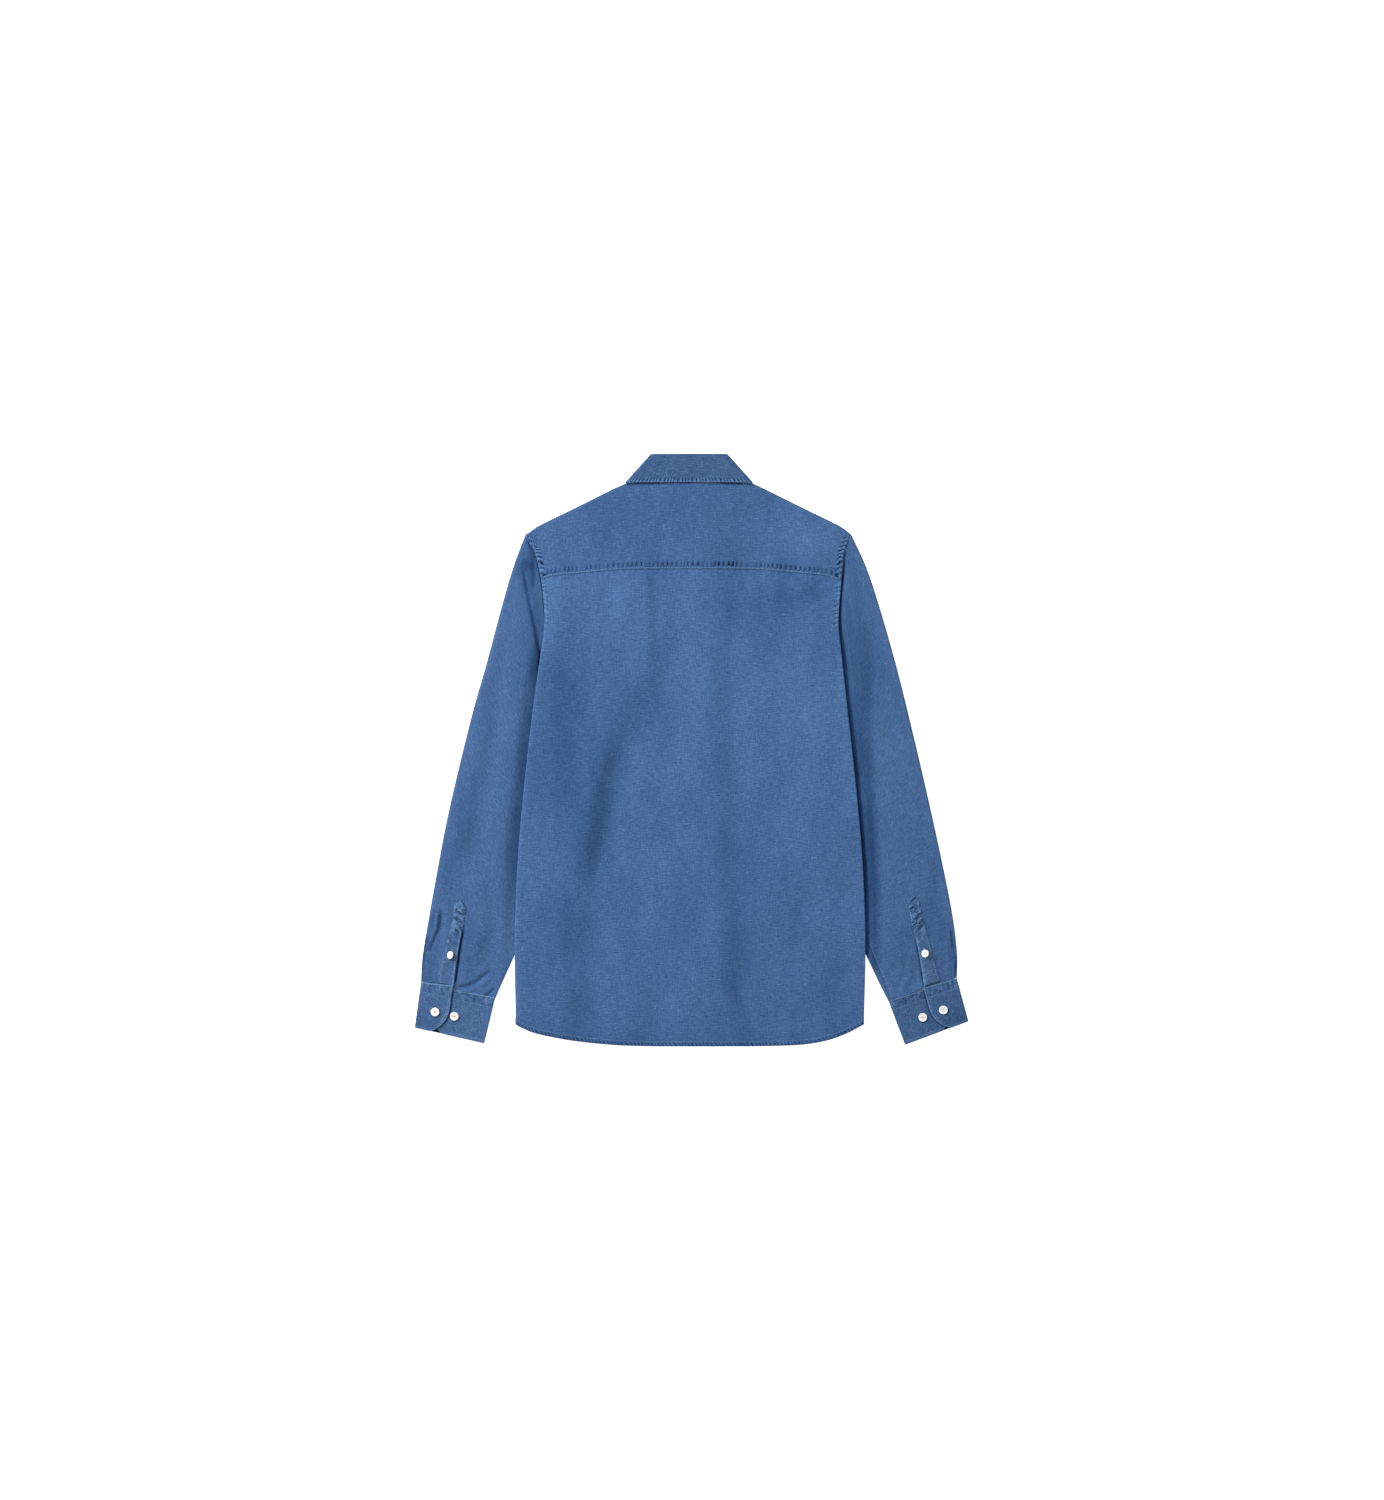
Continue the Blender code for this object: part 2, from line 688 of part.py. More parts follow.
def split_share(side, k):
    """Where the section passes under the trunk's edge."""
    if k == 0:
        return armhole_shares(side)[-1]
    margin = 3 * min(1.0, k)
    share = 0.05
    while share < 0.86:
        out, down = sleeve_section(side, k, share)
        if out - trunk_edge(side, down) < margin and down > ARMHOLE_END - 60:
            break
        share += 0.01
    return share


def turn_over(place, way, radius, up):
    """The points of a sleeve's folded edge, from its upper layer to its lower one or back."""
    turned_points = []
    for step in range(1, SLEEVE_TURN_STEPS):
        angle = math.pi * step / SLEEVE_TURN_STEPS
        reach = radius * math.sin(angle)
        turned_points.append((place[0] + way[0] * reach, place[1] + way[1] * reach,
                              REST_Z + radius * (1 + up * math.cos(angle))))
    return turned_points


def outward(side, k, edge):
    """The way out of a sleeve, in plan, at its outer fold or its underarm edge."""
    last = len(SLEEVE_STATIONS[side]) - 1
    before, after = station_at(side, max(k - 0.1, 0)), station_at(side, min(k + 0.1, last))
    if edge == "outer":
        way = Vector((after.outer_down - before.outer_down, before.outer - after.outer)).normalized()
        return way.lerp(Vector(SHOULDER_TIP_NORMAL), smooth(1 - k / 1.2)).normalized()
    return Vector((before.inner_down - after.inner_down, after.inner - before.inner)).normalized()


def make_sleeve(side, finish):
    sign = SIGN[side]
    points = {}
    knots = armhole_shares(side)
    for i, k in enumerate(SLEEVE_RINGS):
        outer_radius = (sleeve_top_z(side, *sleeve_section(side, k, 0.03)) - REST_Z) / 2
        inner_radius = (sleeve_top_z(side, *sleeve_section(side, k, 0.97)) - REST_Z) / 2
        outer_way, inner_way = outward(side, k, "outer"), outward(side, k, "inner")
        outer, inner = Vector(sleeve_section(side, k, 0)), Vector(sleeve_section(side, k, 1))
        split = split_share(side, k)
        tucked = [blend(split, 1, n / SLEEVE_TUCKED_STEPS) for n in range(1, SLEEVE_TUCKED_STEPS)]
        top = [tuple(outer - outer_way * (outer_radius + CLOTH / 2))]
        shares = [knot / knots[-1] * split for knot in knots] + tucked
        top += [sleeve_section(side, k, share) for share in shares]
        top += [tuple(inner - inner_way * (inner_radius + CLOTH / 2))]
        ring = [(out, down, sleeve_top_z(side, out, down)) for out, down in top]
        ring += turn_over(top[-1], inner_way, inner_radius, 1)
        ring += [(out, down, REST_Z) for out, down in reversed(top)]
        ring += turn_over(top[0], outer_way, outer_radius, -1)
        for j, (out, down, z) in enumerate(ring):
            points[i, j] = placed(sign * out, down, z)
    cells = grid_cells(len(SLEEVE_RINGS), len(ring), closed=True)
    return cloth(f"sleeve_{side}", points, cells, CLOTH, finish)


# ---------------------------------------------------------------- cuffs and sleeve plackets

CUFF_ROWS = 4


def cuff_place(cuff, across, t):
    """A place on a cuff, across from its outer fold in millimetres, and t from its top to its bottom."""
    start = [blend(a, b, t) for a, b in zip(cuff.outer_top, cuff.outer_bottom)]
    end = [blend(a, b, t) for a, b in zip(cuff.inner_top, cuff.inner_bottom)]
    share = across / math.dist(start, end)
    return blend(start[0], end[0], share), blend(start[1], end[1], share)


def rounded_end(length, t):
    """How far a cuff's end reaches at t, with its lower corner rounded off."""
    low = max(0.0, (t - CUFF_ROUND_FROM) / (1 - CUFF_ROUND_FROM))
    return length - CUFF_ROUNDING * (1 - math.sqrt(1 - low * low))


def make_cuff(side, finish):
    """A doubled strip wrapped round the wrist: its underlap, its inner layer, and its overlap."""
    cuff, sign = CUFFS[side], SIGN[side]
    under_radius, over_radius = (CUFF_UNDER_Z - WING_Z) / 2, (CUFF_OVER_Z - WING_Z) / 2
    edge = DOUBLED / 2
    points = {}
    for i in range(CUFF_ROWS + 1):
        t = blend(0.006, 1 - edge / 62, i / CUFF_ROWS)
        width = math.dist([blend(a, b, t) for a, b in zip(cuff.outer_top, cuff.outer_bottom)],
                          [blend(a, b, t) for a, b in zip(cuff.inner_top, cuff.inner_bottom)])
        inner_turn, outer_turn = width - edge - under_radius, edge + over_radius
        start = UNDERLAP_START + (CUFF_ROUNDING - (rounded_end(CUFF_ROUNDING, t)))
        stop = rounded_end(cuff.overlap, t)
        path = [(blend(start, inner_turn, n / 5), CUFF_UNDER_Z) for n in range(6)]
        for step in (1, 2):
            angle = math.pi * step / 3
            path.append((inner_turn + under_radius * math.sin(angle),
                         WING_Z + under_radius * (1 + math.cos(angle))))
        path += [(blend(inner_turn, outer_turn, n / 4), WING_Z) for n in range(5)]
        for step in (1, 2):
            angle = math.pi * step / 3
            path.append((outer_turn - over_radius * math.sin(angle),
                         WING_Z + over_radius * (1 - math.cos(angle))))
        path += [(blend(outer_turn, stop, n / 4), CUFF_OVER_Z) for n in range(5)]
        for j, (across, z) in enumerate(path):
            out, down = cuff_place(cuff, across, t)
            points[i, j] = placed(sign * out, down, z)
    return cloth(f"cuff_{side}", points, grid_cells(CUFF_ROWS + 1, len(path)), DOUBLED, finish)


def surface_of(obj):
    """Reads how high an object's top surface lies, in millimetres, at a place on the shirt."""
    graph = bpy.context.evaluated_depsgraph_get()
    tree = BVHTree.FromObject(obj, graph)

    def height(x, down):
        start = placed(x, down, 50)
        hit = tree.ray_cast(start, Vector((0, 0, -1)))[0]
        return hit.z / MM if hit else 0.0

    return height


PLACKET_ROWS = 3


def make_placket(side, sleeve_height, finish):
    """The pointed strip over the sleeve's slit, laid on the sleeve and ending at the cuff."""
    sign, rows = SIGN[side], PLACKETS[side]
    clear = GAP + 0.15 + DOUBLED / 2
    points = {}
    count = (len(rows) - 1) * PLACKET_ROWS + 1
    for i in range(count):
        k = min(i // PLACKET_ROWS, len(rows) - 2)
        t = i / PLACKET_ROWS - k
        ends = [blend(a, b, t) for a, b in zip(rows[k], rows[k + 1])]
        for j in range(5):
            share = j / 4
            x, down = sign * blend(ends[0], ends[2], share), blend(ends[1], ends[3], share)
            if i == 0:
                peak = 1 - abs(2 * share - 1)
                down -= peak * (rows[0].outer_down - PLACKET_POINT_DOWN)
            z = max(sleeve_height(x + dx, down + dd) for dx in (-2, 0, 2) for dd in (-2, 0, 2)) + clear
            points[i + 1, j] = placed(x, down, z)
    return cloth(f"sleeve_placket_{side}", points, grid_cells_from(points), DOUBLED, finish)


def grid_cells_from(points):
    rows = 1 + max(i for i, _ in points)
    columns = 1 + max(j for _, j in points)
    return [cell for cell in grid_cells(rows, columns) if all(corner in points for corner in cell)]


# ---------------------------------------------------------------- collar

COLLAR_BACK_STEPS = 10
COLLAR_TURN_STEPS = 4
WING_STEPS = 6
LEAF_ROWS = 4
ROLL_ROWS = 4
ROLL_GAP = 0.75


def collar_path():
    """Stations round the collar, from the left front through the back to the right front: the part
    it is in, how far along that part, and which side."""
    front_left = [("front", 1 - n / WING_STEPS, "left") for n in range(WING_STEPS + 1)]
    turn_left = [("turn", 1 - n / COLLAR_TURN_STEPS, "left") for n in range(1, COLLAR_TURN_STEPS)]
    back = [("back", n / COLLAR_BACK_STEPS, "") for n in range(COLLAR_BACK_STEPS + 1)]
    turn_right = [("turn", n / COLLAR_TURN_STEPS, "right") for n in range(1, COLLAR_TURN_STEPS)]
    front_right = [("front", n / WING_STEPS, "right") for n in range(WING_STEPS + 1)]
    return front_left + turn_left + back + turn_right + front_right


def turned(corner, inward, radius, low_z, share):
    """A point of the turn at the side of the collar, from the back at 0 to the front at 1."""
    angle = math.pi * share
    reach = radius * math.sin(angle)
    return (corner[0] - inward[0] * reach, corner[1] - inward[1] * reach,
            low_z + radius * (1 + math.cos(angle)))


def leaf_point(part, share, side, t):
    """A point of the collar leaf, t from its roll to its outer edge, and the way it faces there."""
    back_z = blend(LEAF_FOLD_Z, LEAF_EDGE_Z, t)
    radius = (back_z - WING_Z) / 2
    crease = (blend(FOLD_HALF_WIDTH, COLLAR_EDGE_HALF_WIDTH, t), blend(1.8, COLLAR_FALL - 1.0, t))
    inward = (-0.757, 0.653)
    inset = radius + DOUBLED / 2
    corner = (crease[0] + inward[0] * inset, crease[1] + inward[1] * inset)
    if part == "back":
        x = blend(-corner[0], corner[0], share)
        level = blend(1.8, COLLAR_FALL - DOUBLED / 2, t)
        near_side = abs(2 * share - 1) ** 6
        return (x, blend(level, corner[1], near_side), back_z), (0, 0, 1)
    sign = SIGN[side]
    if part == "turn":
        x, down, z = turned(corner, inward, radius, WING_Z, share)
        angle = math.pi * share
        facing = (-inward[0] * math.sin(angle) * sign, -inward[1] * math.sin(angle), math.cos(angle))
        return (sign * x, down, z), facing
    start_roll = leaf_corner(0)
    start_edge = leaf_corner(1)
    roll = (blend(start_roll[0], ROLL_FRONT[0], share) + 7 * math.sin(math.pi * share),
            blend(start_roll[1], ROLL_FRONT[1], share) + 3 * math.sin(math.pi * share))
    edge = (blend(start_edge[0], COLLAR_POINT[0], share), blend(start_edge[1], COLLAR_POINT[1], share))
    return (sign * blend(roll[0], edge[0], t), blend(roll[1], edge[1], t), WING_Z), (0, 0, -1)


def leaf_corner(t):
    """Where the leaf's flat layers start to turn at the collar's side."""
    back_z = blend(LEAF_FOLD_Z, LEAF_EDGE_Z, t)
    inset = (back_z - WING_Z) / 2 + DOUBLED / 2
    return (blend(FOLD_HALF_WIDTH, COLLAR_EDGE_HALF_WIDTH, t) - 0.757 * inset,
            blend(1.8, COLLAR_FALL - 1.0, t) + 0.653 * inset)


def leaf_away(part, share, side):
    """The way across the collar at a station, from its leaf towards its roll."""
    (x, down, _), _ = leaf_point(part, share, side, 0)
    (far_x, far_down, _), _ = leaf_point(part, share, side, 0.25)
    return Vector((x - far_x, down - far_down, 0)).normalized()


def roll_point(part, share, side, away, t):
    """A point of the collar's roll, from the stand at t = 0 to the leaf at 1."""
    (x, down, z), facing = leaf_point(part, share, side, 0)
    back_radius, front_radius = (LEAF_FOLD_Z - STAND_TOP_Z) / 2, (STAND_FRONT_Z - WING_Z) / 2
    radius = blend(back_radius, front_radius, {"back": 0, "front": 1, "turn": share}[part])
    angle = math.pi * (1 - t)
    inwards, reach = radius * (1 - math.cos(angle)), radius * math.sin(angle)
    return (x - facing[0] * inwards + away.x * reach, down - facing[1] * inwards + away.y * reach,
            z - facing[2] * inwards)


def make_leaf(finish):
    """The collar's outer layer, with its roll over the stand's top edge."""
    points = {}
    for j, (part, share, side) in enumerate(collar_path()):
        away = leaf_away(part, share, side)
        for step in range(ROLL_ROWS):
            points[step, j] = placed(*roll_point(part, share, side, away, step / ROLL_ROWS))
        for row in range(LEAF_ROWS + 1):
            (x, down, z), _ = leaf_point(part, share, side, row / LEAF_ROWS)
            points[ROLL_ROWS + row, j] = placed(x, down, z)
    return cloth("collar_leaf", points, grid_cells_from(points), DOUBLED, finish)


STAND_ROWS = 3


def stand_corner():
    """Where the stand's flat layers start to turn at the neckline's side."""
    radius = (upper_z(NECK_HALF_WIDTH, NECK_SIDE_DOWN) - STAND_FRONT_Z) / 2
    inset = radius + DOUBLED / 2
    return NECK_HALF_WIDTH - 0.757 * inset, NECK_SIDE_DOWN - 1.0 + 0.653 * inset, radius


def stand_base(part, share, side):
    """A point of the stand's edge along the neckline."""
    corner_x, corner_down, radius = stand_corner()
    if part == "back":
        x = blend(-corner_x, corner_x, share)
        down = blend(back_neck_down(x) - SEAM, corner_down, abs(2 * share - 1) ** 8)
        return x, down, upper_z(x, back_neck_down(x))
    sign = SIGN[side]
    if part == "turn":
        x, down, z = turned((corner_x, corner_down), (-0.757, 0.653), radius, STAND_FRONT_Z, share)
        return sign * x, down, z
    out, down = front_neck(blend(0.03, math.pi / 2 - ROLL_FRONT[0] / NECK_HALF_WIDTH, share), -NECK_SEAM)
    return sign * out, down, STAND_FRONT_Z


def stand_point(part, share, side, t):
    if part == "overlap":
        x = SIGN[side] * blend(ROLL_FRONT[0], -STAND_OVERLAP, share)
        top_down = stand_point("front", 1, side, 1)[1] + 1.5 * share
        down = blend(front_neck_down(x) - 2 * NECK_SEAM, top_down, t)
    elif t == 1:
        away = leaf_away(part, share, side)
        x, down, z = roll_point(part, share, side, away, 0)
        x, down = x - away.x * ROLL_GAP, down - away.y * ROLL_GAP
    else:
        x, down, z = [blend(a, b, t) for a, b in
                      zip(stand_base(part, share, side), stand_point(part, share, side, 1))]
    if part in ("front", "overlap"):
        z = STAND_FRONT_Z
        if side == "right":
            z = blend(STAND_FRONT_Z, UNDER_BAND_Z, smooth((STAND_OVERLAP + 30 - x) / 16))
    return x, down, z


def make_stand(finish):
    """The band that the leaf turns over, sewn to the neckline and closed at the centre front."""
    overlap = [("overlap", n / 2, "right") for n in (1, 2)]
    path = [(part, share, "left") for part, share, _ in reversed(overlap)] + collar_path() + overlap
    points = {}
    for j, (part, share, side) in enumerate(path):
        for row in range(STAND_ROWS + 1):
            points[row, j] = placed(*stand_point(part, share, side, row / STAND_ROWS))
    return cloth("collar_stand", points, grid_cells_from(points), DOUBLED, finish)


# ---------------------------------------------------------------- buttons

BUTTON_SIDES = 10


def button_mesh(name, radius, finish):
    """A turned disc with a raised rim, and four holes cut by a Boolean."""
    half = BUTTON_THICKNESS / 2
    profile = ((0, -half), (radius - 0.6, -half), (radius, 0), (radius - 0.5, half),
               (radius - BUTTON_RIM, half - BUTTON_DISH), (0, half - BUTTON_DISH))
    made = bmesh.new()
    verts = [made.verts.new((r * MM, 0, z * MM)) for r, z in profile]
    edges = [made.edges.new(pair) for pair in zip(verts, verts[1:])]
    bmesh.ops.spin(made, geom=verts + edges, cent=(0, 0, 0), axis=(0, 0, 1),
                   angle=2 * math.pi, steps=BUTTON_SIDES, use_merge=True)
    bmesh.ops.remove_doubles(made, verts=made.verts, dist=1e-6)
    bmesh.ops.recalc_face_normals(made, faces=made.faces)
    mesh = bpy.data.meshes.new(name)
    made.to_mesh(mesh)
    made.free()
    disc = link(name, mesh, finish)
    made = bmesh.new()
    for quarter in range(4):
        angle = math.pi / 4 + quarter * math.pi / 2
        offset = BUTTON_HOLE_OFFSET * math.sqrt(2)
        made_at = Vector((offset * math.cos(angle), offset * math.sin(angle), 0)) * MM
        hole = bmesh.ops.create_cone(made, cap_ends=True, segments=5, radius1=BUTTON_HOLE_RADIUS * MM,
                                     radius2=BUTTON_HOLE_RADIUS * MM, depth=4 * MM)
        bmesh.ops.translate(made, verts=hole["verts"], vec=made_at)
    cutter_mesh = bpy.data.meshes.new("button_holes")
    made.to_mesh(cutter_mesh)
    made.free()
    cutter = link("button_holes", cutter_mesh, finish)
    cut = disc.modifiers.new("holes", "BOOLEAN")
    cut.object = cutter
    cut.operation = "DIFFERENCE"
    cut.solver = "EXACT"
    bpy.context.view_layer.update()
    pierced = bpy.data.meshes.new_from_object(disc.evaluated_get(bpy.context.evaluated_depsgraph_get()))
    bpy.data.objects.remove(disc)
    bpy.data.objects.remove(cutter)
    pierced.name = name
    return pierced


def place_button(name, mesh, x, down, low_z, facing_down=False):
    obj = bpy.data.objects.new(name, mesh)
    bpy.context.scene.collection.objects.link(obj)
    obj.location = placed(x, down, low_z + BUTTON_THICKNESS / 2)
    if facing_down:
        obj.rotation_euler = (math.pi, 0, 0)
    return obj


def seat(height, x, down, radius):
    """The lowest a button can lie over a surface without touching it."""
    around = [height(x, down)]
    for n in range(BUTTON_SIDES):
        angle = 2 * math.pi * n / BUTTON_SIDES
        around.append(height(x + radius * math.cos(angle), down + radius * math.sin(angle)))
    return max(around) + GAP


def make_cuff_buttons(side, cuff, placket, mesh, small_mesh):
    shape, sign = CUFFS[side], SIGN[side]
    height = surface_of(cuff)
    for number, across in ((1, shape.first_button), (2, shape.second_button)):
        out, down = cuff_place(shape, across, CUFF_BUTTON_HEIGHT)
        low = seat(height, sign * out, down, 4.0)
        place_button(f"cuff_button_{side}_{number}", mesh, sign * out, down, low)
    out, down = PLACKET_BUTTON[side]
    low = seat(surface_of(placket), sign * out, down, 4.5)
    place_button(f"placket_button_{side}", small_mesh, sign * out, down, low)


def make_front_buttons(mesh):
    place_button("front_button_0", mesh, 0, COLLAR_BUTTON_DOWN, 0, facing_down=True)
    for n in range(FRONT_BUTTONS):
        down = FIRST_FRONT_BUTTON + n * FRONT_BUTTON_STEP
        place_button(f"front_button_{n + 1}", mesh, 0, down, 0, facing_down=True)


# ---------------------------------------------------------------- the shirt


def main():
    for obj in list(bpy.data.objects):
        bpy.data.objects.remove(obj)
    blue = material("indigo_cotton", (0.075, 0.155, 0.33), 0.85)
    shell = material("shell_button", (0.85, 0.83, 0.78), 0.3)
    make_back(blue)
    make_yoke(blue)
    make_band(blue)
    make_leaf(blue)
    make_stand(blue)
    button = button_mesh("button", BUTTON_RADIUS, shell)
    small_button = button_mesh("small_button", SMALL_BUTTON_RADIUS, shell)
    for side in ("left", "right"):
        make_front(side, blue)
        sleeve = make_sleeve(side, blue)
        cuff = make_cuff(side, blue)
        bpy.context.view_layer.update()
        placket = make_placket(side, surface_of(sleeve), blue)
        bpy.context.view_layer.update()
        make_cuff_buttons(side, cuff, placket, button, small_button)
    make_front_buttons(button)


main()
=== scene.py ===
"""The look of an oxford shirt laid out flat, face down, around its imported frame.

Lengths are in millimetres until a mesh is made. A place on the shirt is (x, down): x runs to the right
of the centre back line, seen from above, and down runs from the collar's top fold towards the hem.
Heights are those of the middle of a layer.
"""

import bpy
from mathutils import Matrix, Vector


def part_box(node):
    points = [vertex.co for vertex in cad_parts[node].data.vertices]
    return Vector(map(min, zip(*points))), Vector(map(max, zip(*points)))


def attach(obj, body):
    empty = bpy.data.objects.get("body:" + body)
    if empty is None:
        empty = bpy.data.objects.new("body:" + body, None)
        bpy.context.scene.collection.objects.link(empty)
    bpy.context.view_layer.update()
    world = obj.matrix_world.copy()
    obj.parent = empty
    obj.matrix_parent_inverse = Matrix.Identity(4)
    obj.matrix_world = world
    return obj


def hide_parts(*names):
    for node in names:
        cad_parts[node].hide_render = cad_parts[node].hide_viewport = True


bl_info = {
    "name": "Oxford shirt laid flat",
    "version": (1, 0, 0),
    "blender": (4, 5, 0),
    "location": "View3D > Sidebar > Shirt",
    "description": "Builds the cloth, seams, stitching and buttons of a shirt laid out face down",
    "category": "Object",
}

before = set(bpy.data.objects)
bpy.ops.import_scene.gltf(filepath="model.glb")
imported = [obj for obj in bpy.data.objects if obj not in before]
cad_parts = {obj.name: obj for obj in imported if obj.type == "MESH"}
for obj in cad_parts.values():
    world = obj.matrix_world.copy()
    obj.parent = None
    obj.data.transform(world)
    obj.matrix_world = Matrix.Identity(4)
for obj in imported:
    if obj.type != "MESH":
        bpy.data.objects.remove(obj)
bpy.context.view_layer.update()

import math

import bpy
import numpy as np
from bpy.props import FloatProperty, FloatVectorProperty, PointerProperty
from mathutils import Matrix, Vector
from mathutils.bvhtree import BVHTree

MM = 0.001
SIGN = {"left": -1.0, "right": 1.0}

# ---------------------------------------------------------------- the shirt's sizes

# The middle of the laid-out shirt, which is the scene's origin.
CENTRE_X, CENTRE_DOWN = 3.45, 399.7
# Heights of the lowest cloth, of the back, and of the lowest layer of the collar and cuffs.
REST_Z, UPPER_Z, WING_Z = 0.5, 4.8, 0.6
# Heights of a sleeve's upper layer, where the trunk covers it and where it is full.
TUCKED_Z, CROWN_Z = 2.2, 4.8
# Heights of the left front's edge, with its band, and of the right front's edge, and half the band's width.
BAND_Z, UNDER_BAND_Z, BAND_HALF = 2.9, 4.4, 15.0
# Heights of the collar leaf at its fold and its edge, and of the stand at its top and at the front.
LEAF_FOLD_Z, LEAF_EDGE_Z, STAND_TOP_Z, STAND_FRONT_Z = 8.7, 7.5, 7.0, 2.9
# The neck opening: half its width, how far down its sides are, and how much further down its front is.
NECK_HALF, NECK_SIDE, NECK_FRONT = 70.0, 33.0, 73.0
# How far down the armholes end, and how far down the yoke's front edge starts at its outer ends.
ARMHOLE_END, FRONT_SIDE = 228.0, 136.0
# Where the yoke's front edge meets the neck opening, in radians round it.
NECK_ANGLE = 0.4405

# The trunk's half widths at places down it. Then, at places out from its centre line, how far down the hem, the
# yoke's seam and the shoulders' folds are.
TRUNK = {
    "down": (108, 113, 120, 131, 157, 190, 228, 262, 332, 440, 548, 656, 770),
    "left": (224, 221, 216, 209, 202, 197, 195, 199, 209, 221.5, 231, 235, 234),
    "right": (218.9, 216.4, 214.2, 210, 207, 204, 201.5, 205, 212.5, 224.5, 234, 238, 236),
}
HEM = {
    "out": (0, 60, 100, 150, 185, 212, 236),
    "left": (799, 798.8, 797.3, 792.5, 786.5, 780, 769),
    "right": (799, 799, 798.8, 797, 791.5, 782, 769.5),
}
YOKE_SEAM = {"out": (0, 90, 150, 185, 203), "down": (155, 156, 161, 164.5, 170.5)}
SHOULDER = {
    "out": (70, 80, 88, 100, 150, 200, 212, 221.5),
    "down": (33.0, 37.2, 41.0, 46.2, 71.0, 95.5, 103, 111.5),
}
# How far out the tip of each shoulder is, and the way it faces.
SHOULDER_TIP = {"left": 221.2, "right": 218.4}
TIP_WAY = (0.62, -0.785)

# Stations down each sleeve: the outer fold, then the underarm edge.
SLEEVES = {
    "left": {
        "outer": (221.3, 236.0, 252.5, 272.5, 291.0, 311.0, 328.0, 343.0, 352.5, 359.5, 361.8),
        "outer_down": (111.8, 150.0, 205.0, 280.0, 345.0, 425.0, 500.0, 580.0, 634.0, 678.0, 712.0),
        "inner": (140.0, 143.0, 147.0, 158.0, 173.0, 190.0, 207.0, 223.0, 237.5, 250.0, 261.7),
        "inner_down": (325.0, 345.0, 372.0, 430.0, 490.0, 546.0, 600.0, 646.0, 681.0, 709.0, 735.6),
    },
    "right": {
        "outer": (218.5, 238.5, 256.5, 278.0, 294.5, 313.5, 330.5, 347.5, 357.0, 361.8, 361.4),
        "outer_down": (108.4, 152.0, 205.0, 280.0, 345.0, 425.0, 500.0, 580.0, 632.0, 676.0, 707.0),
        "inner": (143.0, 146.0, 150.0, 161.0, 176.0, 193.0, 210.0, 226.0, 241.0, 255.0, 269.0),
        "inner_down": (325.0, 345.0, 372.0, 430.0, 490.0, 546.0, 600.0, 646.0, 681.0, 711.0, 739.0),
    },
}
# Each cuff: its two folds, how far its overlap's end and its buttonhole lie from the outer one, and how much
# higher its top edge is at the overlap's and the underlap's inner ends.
CUFFS = {
    "left": {"outer": ((361.8, 712.5), (370.3, 774.5)), "inner": ((261.9, 735.9), (276.5, 795.9)),
             "overlap": 44.0, "button": 24.6, "rise": (5.0, 2.6)},
    "right": {"outer": ((361.4, 707.5), (377.2, 766.0)), "inner": ((269.3, 739.4), (291.6, 797.9)),
              "overlap": 47.0, "button": 29.0, "rise": (3.0, 1.4)},
}
CUFF_UNDER_Z, CUFF_OVER_Z, CUFF_ROUND, CUFF_ROUND_FROM, UNDERLAP = 2.6, 4.1, 44.0, 0.42, 15.5
CUFF_DEPTH = 62.0
# Each sleeve placket: its outer and inner long edges, from the point to the cuff.
PLACKETS = {
    "left": {"outer": (316.8, 318.8, 327.4, 334.8, 340.2), "outer_down": (609.0, 630.5, 658.8, 689.9, 715.9),
             "inner": (301.0, 304.7, 310.0, 314.8, 318.0), "inner_down": (612.5, 636.0, 662.0, 694.0, 721.2),
             "button": (321.6, 675.8)},
    "right": {"outer": (309.2, 315.8, 323.8, 331.8, 340.2), "outer_down": (601.5, 630.5, 655.0, 685.8, 713.2),
              "inner": (295.5, 301.1, 307.4, 313.2, 317.6), "inner_down": (605.5, 636.0, 661.0, 692.0, 721.0),
              "button": (318.3, 673.8)},
}
PLACKET_POINT = {"left": 600.5, "right": 593.5}
# How wide a placket is, and how far down its two edges are stitched to the sleeve.
PLACKET_WIDTH, PLACKET_HELD = 17.0, 648.0

# The right sleeve's underarm seam, where it shows.
UNDERARM_SEAM = ((240, 655), (249, 678), (262, 708), (273.5, 738))
# Creases: the line each one follows, its width and height, the painted shade or highlight that it adds to the
# tone, and whether it is a ridge or a one-sided step.
TRUNK_CREASES = (
    (((-26, 225), (-50, 300), (-84, 362), (-112, 430), (-128, 510), (-138, 590)), 27, 1.7, -0.16, "step"),
    (((-92, 385), (-109, 420), (-117, 470), (-126, 520), (-140, 570)), 13, 0.8, -0.05, "step"),
    (((-120, 470), (-136, 545), (-146, 600), (-151, 710), (-158, 860)), 26, 1.1, -0.12, "step"),
    (((-118, 170), (-112, 230), (-92, 300)), 15, 0.8, -0.04, "step"),
    (((-52, 150), (-50, 230), (-48, 290)), 8, 0.8, -0.09, "step"),
    (((48, 160), (49, 420), (50, 600), (64, 770)), 19, 1.5, -0.07, "step"),
    (((-170, 270), (-182, 380), (-186, 480)), 28, -0.9, -0.07, "ridge"),
    (((80, 210), (130, 200), (186, 184)), 20, -0.6, -0.06, "ridge"),
    (((152, 196), (176, 182), (196, 172)), 5, 0.7, -0.03, "step"),
    (((160, 212), (184, 196), (199, 190)), 5, 0.6, -0.03, "step"),
    (((128, 640), (160, 690), (206, 730)), 16, 0.8, -0.04, "step"),
    (((196, 560), (206, 640), (196, 720)), 14, -0.6, -0.05, "ridge"),
    (((-206, 600), (-170, 680), (-176, 760)), 22, -0.6, -0.05, "ridge"),
    (((0, 60), (-8, 110), (-2, 150)), 30, 0.5, 0.04, "ridge"),
    (((96, 60), (120, 100), (122, 145)), 20, -0.6, -0.05, "ridge"),
)
